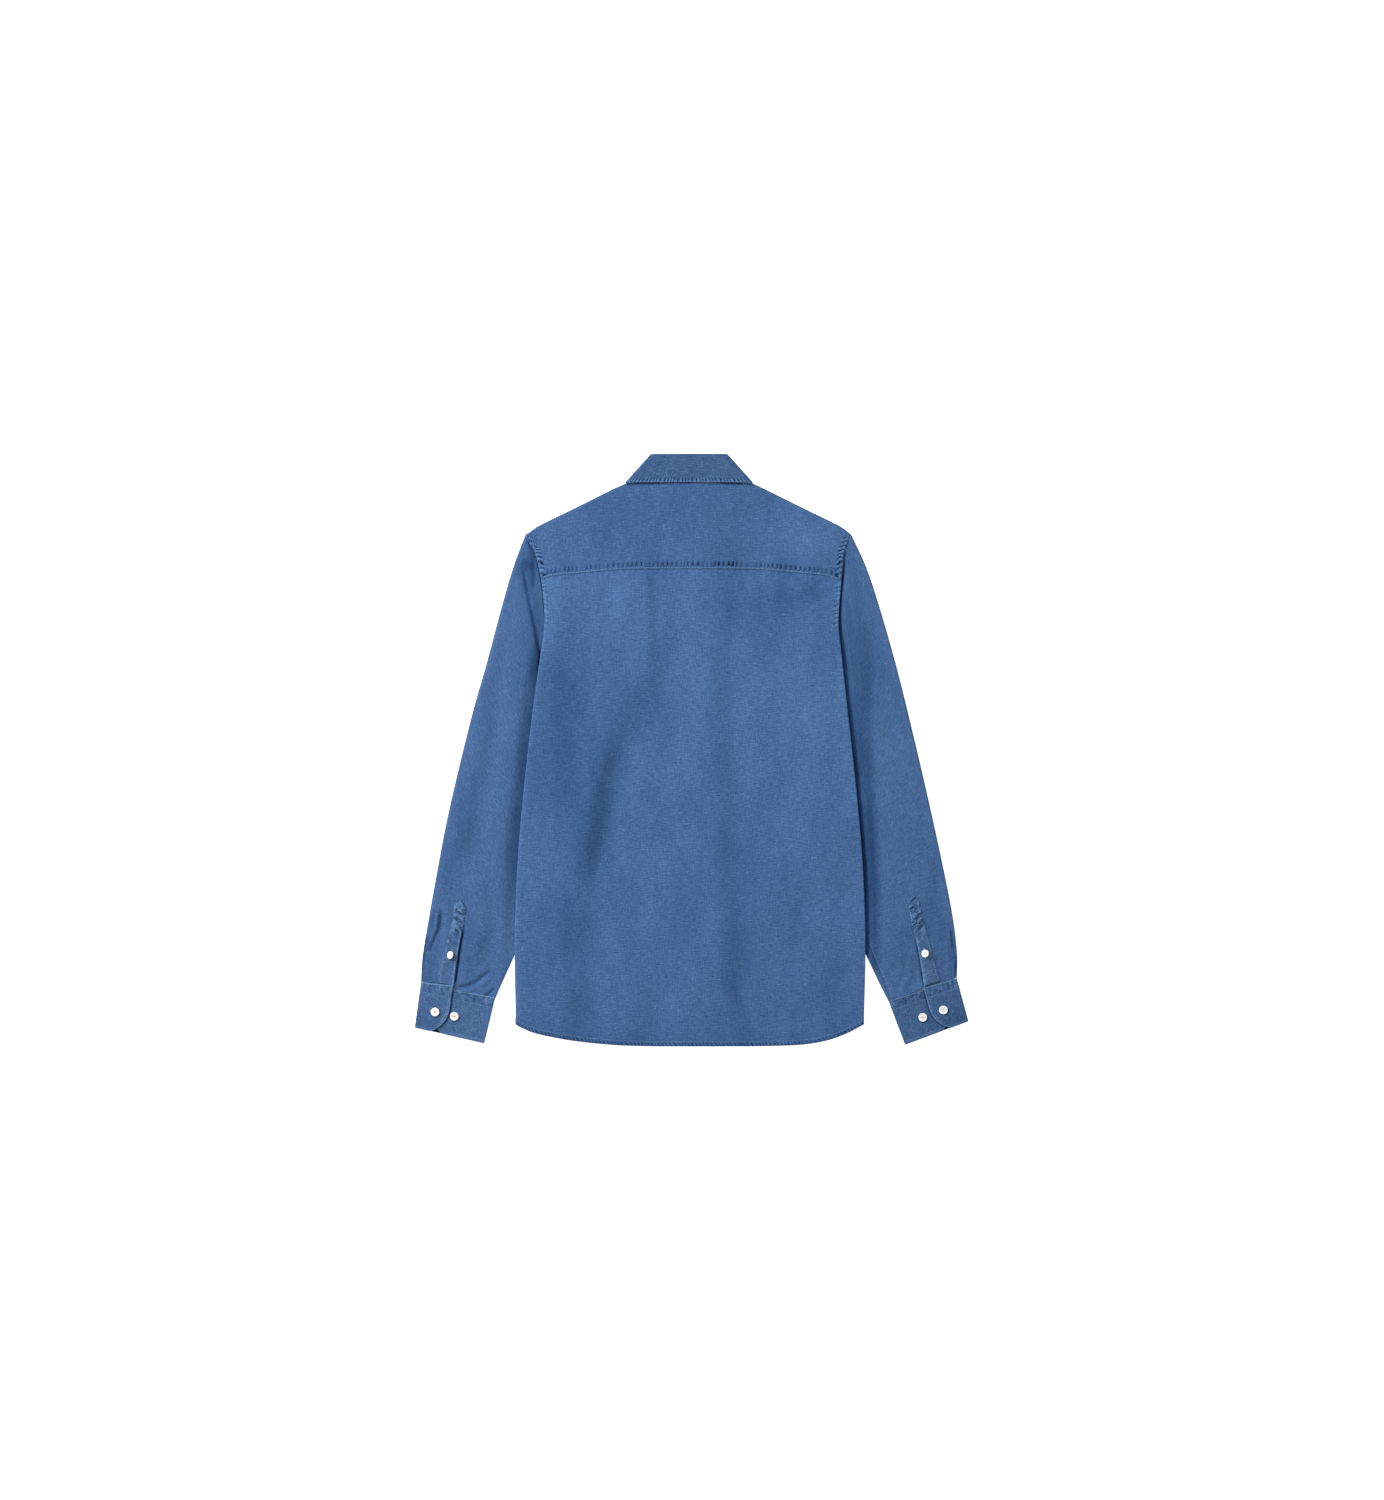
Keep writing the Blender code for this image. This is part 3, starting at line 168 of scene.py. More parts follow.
SLEEVE_CREASES = {
    "left": (
        (((-334, 611), (-335.2, 622), (-337, 640), (-342, 650), (-346.5, 661), (-351, 674)), 2.0, -1.4, -0.6, "ridge"),
        (((-351, 644), (-356.4, 663), (-358.3, 678), (-360.4, 692), (-361, 716)), 1.8, -0.6, -0.75, "ridge"),
        (((-344, 612), (-346, 630), (-351, 648)), 3.6, -0.8, -0.2, "ridge"),
        (((-339.5, 618), (-341.5, 636), (-346, 650)), 2.0, 1.0, 0.1, "ridge"),
        (((-330, 600), (-327, 640), (-334, 690), (-340, 716)), 5, 0.7, 0.06, "ridge"),
        (((-319, 722), (-297, 717), (-283, 709), (-266, 695)), 2.8, -1.4, -0.42, "ridge"),
        (((-314, 727), (-296, 724), (-281, 717), (-266, 706)), 3.6, 1.1, 0.09, "ridge"),
        (((-279, 735), (-270, 728), (-261, 720)), 2.4, -1.4, -0.42, "ridge"),
        (((-279, 731.5), (-270, 734.5), (-262, 735)), 1.5, -0.6, -0.5, "ridge"),
        (((-303, 634), (-308, 662), (-312.8, 694), (-316, 722)), 2.0, -2.4, -0.9, "ridge"),
        (((-300, 640), (-296, 680), (-290, 712)), 8, -0.8, -0.06, "ridge"),
        (((-278, 560), (-268, 640), (-290, 700)), 12, 0.8, -0.04, "step"),
        (((-262, 300), (-282, 430), (-306, 560)), 16, 0.8, -0.04, "step"),
        (((-246, 230), (-262, 330), (-275, 430)), 12, -0.7, -0.06, "ridge"),
        (((-226, 148), (-221, 176), (-216.7, 197), (-208, 237.6), (-201.5, 272), (-203, 312)),
         2.6, -0.7, -0.52, "ridge"),
        (((-217, 140), (-212, 180), (-210, 215), (-208, 250), (-208, 330)), 12, -0.2, -0.14, "ridge"),
        (((-218, 108), (-211, 136), (-210, 160), (-211, 188)), 3.4, -0.6, -0.36, "ridge"),
    ),
    "right": (
        (((351.5, 636), (355.4, 662), (358.3, 678), (360.2, 698), (360.6, 712)), 1.6, -0.9, -0.75, "ridge"),
        (((345, 655), (350, 684), (350, 708)), 4, 1.0, 0.08, "ridge"),
        (((282, 728), (294, 704), (297, 672)), 5, 1.0, -0.04, "step"),
        (((258, 560), (270, 640), (288, 716)), 12, -0.8, -0.04, "step"),
        (((262, 300), (286, 430), (306, 560)), 16, -0.8, -0.04, "step"),
        (((300, 726), (314, 716), (330, 706)), 4, 0.9, 0.07, "ridge"),
        (((240, 220), (258, 300), (268, 400)), 12, -0.6, -0.05, "ridge"),
        (((303, 634), (308, 661), (313.6, 692), (317.8, 722)), 1.8, -2.0, -0.75, "ridge"),
        (UNDERARM_SEAM, 1.5, -1.0, -0.2, "ridge"),
    ),
}

# Soft patches of paler or deeper cloth, partly the wash's unevenness and partly painted shade over broad folds: middle,
# place down, half width, half length, lean and change of tone.
TRUNK_SHADES = (
    (150, 109, 60, 40, 0.0, 0.20), (-190, 185, 15, 60, 0.0, 0.17), (-88, 220, 30, 62, 0.0, 0.12),
    (4, 300, 24, 170, 0.0, 0.11), (106, 206, 62, 50, 0.0, -0.15), (150, 330, 70, 100, 0.0, 0.13),
    (201, 332, 24, 90, 0.0, 0.05), (-172, 374, 42, 105, 0.0, -0.25), (-116, 455, 15, 45, -0.1, -0.09),
    (-46, 352, 26, 40, -0.6, -0.09), (59, 680, 18, 150, 0.0, -0.07), (96, 643, 36, 150, 0.0, -0.07),
    (-59, 535, 35, 60, 0.0, 0.07), (212, 480, 14, 70, 0.0, 0.07), (-150, 643, 20, 120, 0.0, -0.03),
    (0, 80, 62, 38, 0.0, -0.04), (66, 138, 10, 28, 0.0, -0.07), (177, 192, 22, 20, 0.0, -0.13),
    (80, 79, 14, 40, 0.0, 0.05),
    (0, 792, 260, 42, 0.0, -0.07), (-183, 160, 26, 40, 0.0, 0.13), (160, 122, 42, 26, 0.0, 0.07),
    (-45, 72, 55, 30, 0.0, -0.08), (47, 270, 15, 120, 0.0, 0.07), (112, 402, 24, 62, 0.0, 0.09),
    (-18, 290, 16, 46, 0.0, 0.07),
)
SLEEVE_SHADES = {
    "left": ((-259, 332, 22, 90, -0.2, 0.12), (-314, 521, 14, 75, -0.15, -0.12), (-226, 148, 13, 17, 0.0, -0.42),
             (-289, 659, 8, 13, -0.3, -0.12), (-345, 632, 7, 18, -0.25, -0.12)),
    "right": ((271, 386, 20, 60, 0.2, 0.12), (233, 210, 18, 45, 0.2, -0.07), (332, 640, 28, 80, 0.15, -0.12),
              (292, 465, 20, 80, 0.2, 0.08)),
}


class ClothSettings(bpy.types.PropertyGroup):
    """The cloth and thread of the shirt."""
    thickness: FloatProperty(name="Cloth thickness", description="Wall of a single layer of cloth",
                             default=0.0007, unit="LENGTH")
    doubled: FloatProperty(name="Doubled thickness", description="Wall of the collar, cuffs and bands",
                           default=0.0011, unit="LENGTH")
    colour: FloatVectorProperty(name="Cloth colour", description="Mean colour of the washed blue cotton",
                                default=(0.0345, 0.0815, 0.187), subtype="COLOR", size=3)
    light_yarn: FloatVectorProperty(name="Light yarn", description="Colour of the palest yarns",
                                    default=(0.072, 0.142, 0.272), subtype="COLOR", size=3)
    dark_yarn: FloatVectorProperty(name="Dark yarn", description="Colour of the deepest yarns",
                                   default=(0.012, 0.036, 0.108), subtype="COLOR", size=3)
    thread: FloatVectorProperty(name="Thread colour", description="Colour of the stitching",
                                default=(0.165, 0.275, 0.44), subtype="COLOR", size=3)


class ButtonSettings(bpy.types.PropertyGroup):
    """The buttons and their thread."""
    diameter: FloatProperty(name="Button diameter", description="Across the cuff and front buttons",
                            default=0.0116, unit="LENGTH")
    small_diameter: FloatProperty(name="Small button diameter", description="Across the sleeve buttons",
                                  default=0.0104, unit="LENGTH")
    colour: FloatVectorProperty(name="Button colour", description="Colour of the polished shell",
                                default=(0.60, 0.585, 0.59), subtype="COLOR", size=3)
    thread: FloatVectorProperty(name="Button thread colour", description="Colour of the sewing thread",
                                default=(0.44, 0.335, 0.31), subtype="COLOR", size=3)


class StageSettings(bpy.types.PropertyGroup):
    """The camera, floor and lights."""
    view_height: FloatProperty(name="View height", description="How tall a stretch of floor the camera sees",
                               default=2.025, unit="LENGTH")
    lens: FloatProperty(name="Lens", description="Focal length in millimetres", default=85.0)
    key: FloatProperty(name="Key light", description="Power of the soft light at the upper left",
                       default=285.0, unit="POWER")
    sky: FloatProperty(name="Fill", description="Strength of the light from all round", default=0.72)


# ---------------------------------------------------------------- shaping tools


def smooth(t):
    """An even rise from 0 to 1 that starts and ends gently."""
    t = np.clip(t, 0.0, 1.0)
    return t * t * (3 - 2 * t)


def blend(a, b, t):
    return a + (b - a) * t


def bell(off, reach):
    """1 on a line, and fading to nothing about two reaches away on either side."""
    return np.exp(-((off / reach) ** 2))


def beyond(off, reach):
    """1 up to an edge, and fading to nothing past it."""
    return np.exp(-np.maximum(off, 0) / reach)


def curve(keys, values, at):
    """Reads a smooth curve through the rows of a table."""
    keys, values = np.asarray(keys, float), np.asarray(values, float)
    n = np.arange(len(keys))
    low, high = np.maximum(n - 1, 0), np.minimum(n + 1, len(keys) - 1)
    slope = (values[high] - values[low]) / (keys[high] - keys[low])
    at = np.clip(at, keys[0], keys[-1])
    i = np.clip(np.searchsorted(keys, at, side="right") - 1, 0, len(keys) - 2)
    span, rise = keys[i + 1] - keys[i], values[i + 1] - values[i]
    t, a, b = (at - keys[i]) / span, slope[i] * span, slope[i + 1] * span
    return values[i] + a * t + (3 * rise - 2 * a - b) * t**2 + (a + b - 2 * rise) * t**3


def uneven(a, b, size, seed):
    """A soft, random unevenness between -1 and 1."""
    lattice = np.random.default_rng(seed).random((61, 67)) * 2 - 1
    a, b = np.asarray(a, float) / size, np.asarray(b, float) / size
    i, j = np.floor(a).astype(int), np.floor(b).astype(int)
    s, t = smooth(a - i), smooth(b - j)
    rows = [blend(lattice[(i + k) % 61, j % 67], lattice[(i + k) % 61, (j + 1) % 67], t) for k in (0, 1)]
    return blend(rows[0], rows[1], s)


def seam_marks(run, off, pitch, reach, seed, drift):
    """Uneven waves along a seam, how strong each one is, and a window that ends them a reach away from it."""
    phase = run / pitch + drift * uneven(run, 0, pitch * 2.3, seed)
    window = smooth(off / (0.16 * reach) + 0.4) * (1 - smooth((off - 0.5 * reach) / (0.5 * reach)))
    return np.cos(2 * np.pi * phase), uneven(run, 7, pitch * 1.6, seed + 1), window


def pucker(run, off, pitch, reach, seed):
    """The ripples that a line of stitches draws up: run goes along it, and off away from it."""
    wave, strength, window = seam_marks(run, off, pitch, reach, seed, 0.34)
    return -np.maximum(0.6 + 0.6 * strength, 0.05) * (0.5 + 0.5 * wave) ** 1.5 * window


def ticks(run, off, pitch, reach, seed):
    """The crisp pale and dark marks, between -1 and 1, of a puckered seam's crinkles: used for their height and for
    their painted light and shade.
    """
    wave, strength, window = seam_marks(run, off, pitch, reach, seed, 0.3)
    return -(0.8 + 0.3 * strength) * wave * window


def creased(creases, x, down):
    """The height that creases add at each place, and the painted shade or highlight that they add to the cloth's colour
    there.
    """
    height, tone = np.zeros(np.shape(x)), np.zeros(np.shape(x))
    for line, width, rise, shade, kind in creases:
        best, across, ends = np.full(np.shape(x), 1e9), 0.0, 0.0
        lengths = [math.dist(a, b) for a, b in zip(line, line[1:])]
        run = 0.0
        for (a, b), length in zip(zip(line, line[1:]), lengths):
            dx, dd = (b[0] - a[0]) / length, (b[1] - a[1]) / length
            t = np.clip((x - a[0]) * dx + (down - a[1]) * dd, 0, length)
            far = np.hypot(x - a[0] - t * dx, down - a[1] - t * dd)
            nearer = far < best
            best = np.where(nearer, far, best)
            across = np.where(nearer, np.sign((x - a[0]) * dd - (down - a[1]) * dx) * far, across)
            ends = np.where(nearer, (run + t) / sum(lengths), ends)
            run += length
        reach = across / width
        strength = smooth(ends / 0.16) * smooth((1 - ends) / 0.16) * bell(reach, 1)
        height = height + rise * strength * (1 if kind == "ridge" else -1.6 * reach)
        tone = tone + shade * strength
    return height, tone


def wash_and_shade_patches(shades, x, down):
    """Soft paler or deeper patches, partly left by the wash and partly painted shade over broad folds."""
    tone = np.zeros(np.shape(x))
    x, down = x + 9 * uneven(x, down, 37, 91), down + 12 * uneven(x, down, 43, 92)
    for middle, at, wide, long, lean, amount in shades:
        run = down - at
        tone = tone + amount * np.exp(-(((x - middle - lean * run) / wide) ** 2) - (run / long) ** 2)
    return tone


def place(points):
    """Turns rows of (x, down, z) in millimetres into places in metres."""
    points = np.asarray(points, float)
    out = np.empty_like(points)
    out[..., 0] = (points[..., 0] - CENTRE_X) * MM
    out[..., 1] = (CENTRE_DOWN - points[..., 1]) * MM
    out[..., 2] = points[..., 2] * MM
    return out


def lifted(spots, z):
    """(x, down) places with their heights."""
    return np.concatenate([spots, np.broadcast_to(z, spots.shape[:-1])[..., None]], -1)


def steps(*stops):
    """Numbers that run through stops: a start, then pairs of an end and how many steps lead to it."""
    out = [float(stops[0])]
    for end, count in zip(stops[1::2], stops[2::2]):
        out += list(np.linspace(out[-1], end, count + 1)[1:])
    return np.array(out)


def share_of(values):
    """How far each value lies from the first one to the last, as a share."""
    return (values - values[0]) / (values[-1] - values[0])


def run_along(points):
    """How far along its line each point lies. A grid's lines run down its rows."""
    return np.cumsum(np.linalg.norm(np.diff(points, axis=0, prepend=points[:1]), axis=-1), 0)


def in_scene(name, data):
    made = bpy.data.objects.new(name, data)
    bpy.context.scene.collection.objects.link(made)
    return made


def cloth_piece(name, points, weave, finish, thickness, tone=None, closed=False, keep=None):
    """A wall of cloth on a grid of (x, down, z) points, with the weave's own coordinates and a tone that carries
    both its wear and its painted shade and highlights. keep says which cells are cloth."""
    rows, columns = points.shape[:2]
    wide = columns if closed else columns - 1
    i, j = np.meshgrid(np.arange(rows - 1), np.arange(wide), indexing="ij")
    k = (j + 1) % columns
    corners = [(i, j), (i, k), (i + 1, k), (i + 1, j)]
    faces = np.stack([a * columns + b for a, b in corners], -1).reshape(-1, 4)
    corner_weave = np.stack([weave[a, np.minimum(b, weave.shape[1] - 1)] if b is not k else weave[a, j + 1]
                             for a, b in corners], -2).reshape(-1, 4, 2)
    if keep is not None:
        chosen = keep[:, :wide].reshape(-1)
        faces, corner_weave = faces[chosen], corner_weave[chosen]
    used, faces = np.unique(faces, return_inverse=True)
    faces = faces.reshape(-1, 4)
    mesh = bpy.data.meshes.new(name)
    mesh.from_pydata(place(points).reshape(-1, 3)[used].tolist(), [], faces.tolist())
    mesh.uv_layers.new(name="weave").data.foreach_set("uv", (corner_weave * MM).astype(np.float32).ravel())
    tones = np.ones(points.shape[:2]) if tone is None else tone
    wear_and_shade = mesh.attributes.new("tone", "FLOAT", "POINT")
    wear_and_shade.data.foreach_set("value", tones.reshape(-1)[used].astype(np.float32))
    mesh.shade_smooth()
    mesh.materials.append(finish)
    piece = in_scene(name, mesh)
    deselect()
    piece.select_set(True)
    bpy.context.view_layer.objects.active = piece
    bpy.ops.object.mode_set(mode="EDIT")
    bpy.ops.mesh.select_all(action="SELECT")
    bpy.ops.mesh.normals_make_consistent(inside=False)
    bpy.ops.object.mode_set(mode="OBJECT")
    wall = piece.modifiers.new("wall", "SOLIDIFY")
    wall.thickness, wall.offset = thickness, 0
    bpy.ops.object.modifier_apply(modifier="wall")
    return piece


def deselect():
    for obj in bpy.context.selected_objects:
        obj.select_set(False)


def plan(points):
    """The weave's coordinates on a piece cut square to the shirt."""
    return points[..., :2].copy()


# ---------------------------------------------------------------- outlines and heights


def trunk_edge(side, down):
    return curve(TRUNK["down"], TRUNK[side], down)


def edge_on(x, down):
    """The trunk's edge on the side that x is on."""
    return np.where(x < 0, -trunk_edge("left", down), trunk_edge("right", down))


def hem_down(x):
    out = np.abs(x)
    return np.where(x < 0, curve(HEM["out"], HEM["left"], out), curve(HEM["out"], HEM["right"], out))


def seam_down(x):
    return curve(YOKE_SEAM["out"], YOKE_SEAM["down"], np.abs(x))


def shoulder_down(x):
    return curve(SHOULDER["out"], SHOULDER["down"], np.abs(x))


def back_neck(x):
    return NECK_SIDE + 5 * (1 - (x / NECK_HALF) ** 2)


def front_neck(angle, out=0.0):
    return (NECK_HALF + out) * np.cos(angle), NECK_SIDE + (NECK_FRONT + out) * np.sin(angle)


def front_neck_down(x):
    return front_neck(np.arccos(np.minimum(1.0, np.abs(x) / NECK_HALF)))[1]


def sleeve_line(side, column, k):
    values = SLEEVES[side][column]
    return curve(np.arange(len(values)), values, k)


def tucked_edge(side, down):
    rows = SLEEVES[side]
    start = trunk_edge(side, ARMHOLE_END)
    first = rows["inner_down"][0]
    above = blend(start, rows["inner"][0], (down - ARMHOLE_END) / (first - ARMHOLE_END))
    return np.where(down < first, above, curve(rows["inner_down"], rows["inner"], down))


def over_sleeve(x, down):
    low = np.maximum(down, ARMHOLE_END)
    tucked = np.where(x < 0, tucked_edge("left", low), tucked_edge("right", low))
    near = smooth((np.abs(x) - tucked + 74) / 38)
    return near * smooth((down - ARMHOLE_END + 50) / 34) * smooth((758 - down) / 60)


def trunk_z(x, down):
    """The back and yoke's height, with the trunk's creases."""
    ridge = 1.1 * bell(x, 52)
    drop = 1.3 * smooth((down - 700) / 90)
    soft = 0.34 * uneven(x, down * 0.6, 34, 3) + 0.12 * uneven(x, down, 13, 4)
    return UPPER_Z + ridge - drop + over_sleeve(x, down) + creased(TRUNK_CREASES, x, down)[0] + soft


# The trunk's painted crease shade and highlights, with its patches of wash and painted shade.
def trunk_tone(x, down):
    return creased(TRUNK_CREASES, x, down)[1] + wash_and_shade_patches(TRUNK_SHADES, x, down)


def lower_z(x, down):
    wing = smooth((1.5 - np.hypot(x / 95, (down - 72) / 82)) / 0.42)
    return REST_Z + np.maximum(3.1 * over_sleeve(x, down), 1.9 * wing)


def band_drop(down):
    return 1.4 * smooth((down - 697) / 95)


def front_z(side, x, down):
    top = (BAND_Z if side == "left" else UNDER_BAND_Z) - band_drop(down)
    reach = 45 if side == "left" else 55
    rise = smooth((BAND_HALF + reach - x * SIGN[side]) / reach)
    return np.maximum(lower_z(x, down), REST_Z + (top - REST_Z) * rise)


def sleeve_gap(down):
    """How wide the open gap is between the trunk's right edge and the sleeve."""
    return curve((112, 136, 150, 175, 200, 230, 264, 330, 400, 500, 600, 690),
                 (0.5, 1.2, 2.4, 2.3, 1.7, 3.8, 4.8, 4.9, 5.4, 4.7, 5.6, 4.2), down)


def sleeve_z(side, out, down):
    """The sleeve's upper layer: low beside and under the trunk, and full between there and its fold."""
    off = out - trunk_edge(side, down)
    if side == "left":
        width = curve((113, 140, 165, 205, 262, 330, 800), (6, 20, 27, 16, 12, 17, 17), down)
        dip, from_edge, low = smooth((down - 128) / 60), 2.0, TUCKED_Z
    else:
        width, dip, from_edge, low = 7.0, smooth((down - 138) / 50), sleeve_gap(down), 1.75
    at_edge = blend(5.0, low, dip)
    full = blend(at_edge, CROWN_Z + 0.5 * (side == "right") * dip, smooth((off - from_edge) / width))
    k_out, k_in = SLEEVES[side]["outer"][-1], SLEEVES[side]["inner"][-1]
    across = (k_out - out) / (k_out - k_in)
    at_cuff = blend(CUFF_OVER_Z, CUFF_UNDER_Z, smooth((across - 0.02) / 0.18))
    return blend(full, at_cuff, smooth((down - 660) / 60))


def sleeve_painted_shade(side, out, down):
    """Painted shade beside the trunk: a shaded valley, armhole line and notch on the left, and the dark gap and cast
    shadow on the right.
    """
    off = out - trunk_edge(side, down)
    if side == "left":
        band = 0.5 * smooth((down - 235) / 60) * bell(np.maximum(off, 0), 14)
        band = band * curve((467, 535, 589, 640), (1, 0.72, 0.5, 0), down)
        line = 0.38 * smooth((down - 210) / 30) * smooth((400 - down) / 90) * bell(off - 0.9, 1.3)
        notch = 0.22 * smooth((down - 106) / 8) * smooth((185 - down) / 30) * bell(off - 0.4, 3.2)
        return 1 - band - line - notch
    gap = sleeve_gap(down)
    depth = curve((120, 150, 200, 264, 330, 400, 500, 640, 720),
                  (0, 0.04, 0.1, 0.17, 0.29, 0.37, 0.42, 0.49, 0.45), down)
    level = curve((150, 264, 330, 400, 500, 600, 720), (10, 29, 22, 14, 10, 5.5, 5), down)
    rim = curve((170, 230, 264, 332, 420, 520), (0, 0.1, 0.2, 0.2, 0.08, 0), down)
    band = depth * (1 - smooth((off - gap - level) / 15)) + rim * bell(off - gap, 6)
    deep = (0.7 + 0.16 * smooth((215 - down) / 30)) * smooth((down - 110) / 14)
    deep = deep * (1 - smooth((off - gap - 0.2) / 1.3))
    return 1 - np.maximum(band, deep) * smooth((712 - down) / 24)


def fill(bottom, top, left, right, us, vs):
    """Places on a panel between four edges, given as rows of (x, down)."""
    low = bottom - blend(bottom[0], bottom[-1], us[:, None])
    high = top - blend(top[0], top[-1], us[:, None])
    return blend(left[:, None], right[:, None], us[None, :, None]) + blend(low[None], high[None], vs[:, None, None])


# ---------------------------------------------------------------- the trunk

# How far in from a side edge its roll reaches.
ROLL = 1.9
# How far down the yoke's sides start and end, and the share of its width that each shoulder takes.
YOKE_SIDE, YOKE_TOP, SHOULDER_SHARE = 170.0, 116.0, 0.335


def roll_sides(points, side, last, way_up):
    """Rolls a side edge over, so that the back and a front meet at the middle of the fold. The edge is the
    first column of points, or the last one."""
    for n in range(7):
        column = -1 - n if last else n
        down = points[:, column, 1]
        edge = trunk_edge(side, down)
        inner_x = SIGN[side] * (edge - ROLL)
        reach = np.maximum(0.6, (trunk_z(inner_x, down) - front_z(side, inner_x, down) - 0.25) / 2)
        angle = (1 - n / 6) * np.pi / 2
        rolled = smooth((down - ARMHOLE_END + 4) / 30)
        x = SIGN[side] * (edge - 0.35 - reach * (1 - np.sin(angle)))
        z = points[:, column, 2] + way_up * reach * (1 - np.cos(angle))
        points[:, column, 0] = blend(points[:, column, 0], x, rolled)
        points[:, column, 2] = blend(points[:, column, 2], z, rolled)


def side_edges(side_down):
    """The trunk's two side edges, as rows of (x, down)."""
    return [np.stack([sign * (trunk_edge(side, side_down) - 0.1), side_down], -1) for side, sign in SIGN.items()]


def side_painted_highlight(points, tone):
    """Paler cloth along the trunk's side folds: a painted highlight, stronger on the left, where the key light falls.
    """
    for side, sign in SIGN.items():
        off = trunk_edge(side, points[..., 1]) - points[..., 0] * sign
        strength = (0.26 if side == "left" else 0.13) * smooth((points[..., 1] - 160) / 30)
        tone = tone + strength * beyond(off, 3.2)
    return tone


def make_back(cloth):
    roll = ROLL / 460
    us = steps(0, roll, 6, 1 - roll, 160, 1, 6)
    side_down = steps(769.5, 762, 5, 744, 6, 250, 150, 190, 44, 170, 16)
    left, right = side_edges(side_down)
    x = blend(left[0, 0], right[0, 0], us)
    bottom = np.stack([x, hem_down(x)], -1)
    x = blend(left[-1, 0], right[-1, 0], us)
    top = np.stack([x, seam_down(x) - 4], -1)
    for row, edge in ((0, bottom), (-1, top)):
        left[row], right[row] = edge[0], edge[-1]
    vs = share_of(side_down)
    flat = fill(bottom, top, left, right, us, vs)
    x, down = flat[..., 0], flat[..., 1]
    z = trunk_z(x, down) - 0.25
    off_hem = hem_down(x) - down
    seam = pucker(x, down - seam_down(x), 8.1, 13, 23)
    z = z + 0.7 * seam - 0.3 * bell(off_hem - 10.5, 2.5)
    # The tone paints the shade of the yoke seam's puckers, besides the trunk's painted crease shade and patches.
    tone = 1 + 0.12 * seam + trunk_tone(x, down)
    for side, sign in SIGN.items():
        off = trunk_edge(side, down) - x * sign
        arm = smooth((ARMHOLE_END + 16 - down) / 26)
        run = down - 0.3 * off + 2 * uneven(x, down, 6, 25)
        ripple = arm * ticks(run, off - 0.6, 6.0, 8, 24)
        z = z + 0.6 * ripple - 0.35 * arm * bell(off - 3, 0.9)
        # Painted light and shade on the armhole's crinkles, and a painted highlight along its edge.
        tone = tone + 0.62 * ripple - 0.08 * np.abs(ripple) + 0.2 * arm * beyond(off, 1.8)
    points = lifted(flat, z)
    for side in SIGN:
        roll_sides(points, side, side == "right", -1)
    piece = cloth_piece("back_cloth", points, plan(flat), finish("body cotton"), cloth.thickness,
                        side_painted_highlight(points, tone))
    adopt(piece, "back")


def make_hem(cloth):
    """The turned-up hem: a doubled band along the bottom of the back, roped by its stitches."""
    us = steps(-234.4, 236.2, 400)
    offs = np.array([9.2, 8.9, 8.2, 7.2, 6.0, 4.8, 3.6, 2.4, 1.2, 0.4, -0.1])
    x, off = np.meshgrid(us, offs)
    down = hem_down(x) - off
    rope = np.cos(2 * np.pi * (x / 5.0 + off / 7 + 0.4 * uneven(x, 0, 13, 21)))
    strength = 0.72 + 0.28 * uneven(x, 3, 30, 22)
    z = trunk_z(x, down) + 0.55 + 0.34 * strength * rope - 0.5 * bell(off - 9.2, 0.7)
    z = z - 0.9 * beyond(off, 0.5)
    near = smooth((6.2 - off) / 3.4)
    # The tone paints the roping's light and shade, darker near the edge, and painted shade along the band's top edge.
    tone = 1 + near * (0.62 * strength * rope - 0.24) - 0.17 * bell(off - 8.1, 0.9)
    tone = tone + trunk_tone(x, down)
    points = np.stack([x, down, z], -1)
    piece = cloth_piece("hem_cloth", points, plan(points), finish("body cotton"), cloth.thickness, tone)
    adopt(piece)


def shoulder_way(x):
    turn = smooth((np.abs(x) - 196) / 22)
    out = blend(0.447, TIP_WAY[0], turn)
    return np.stack([np.sign(x) * out, -np.sqrt(1 - out * out)], -1)


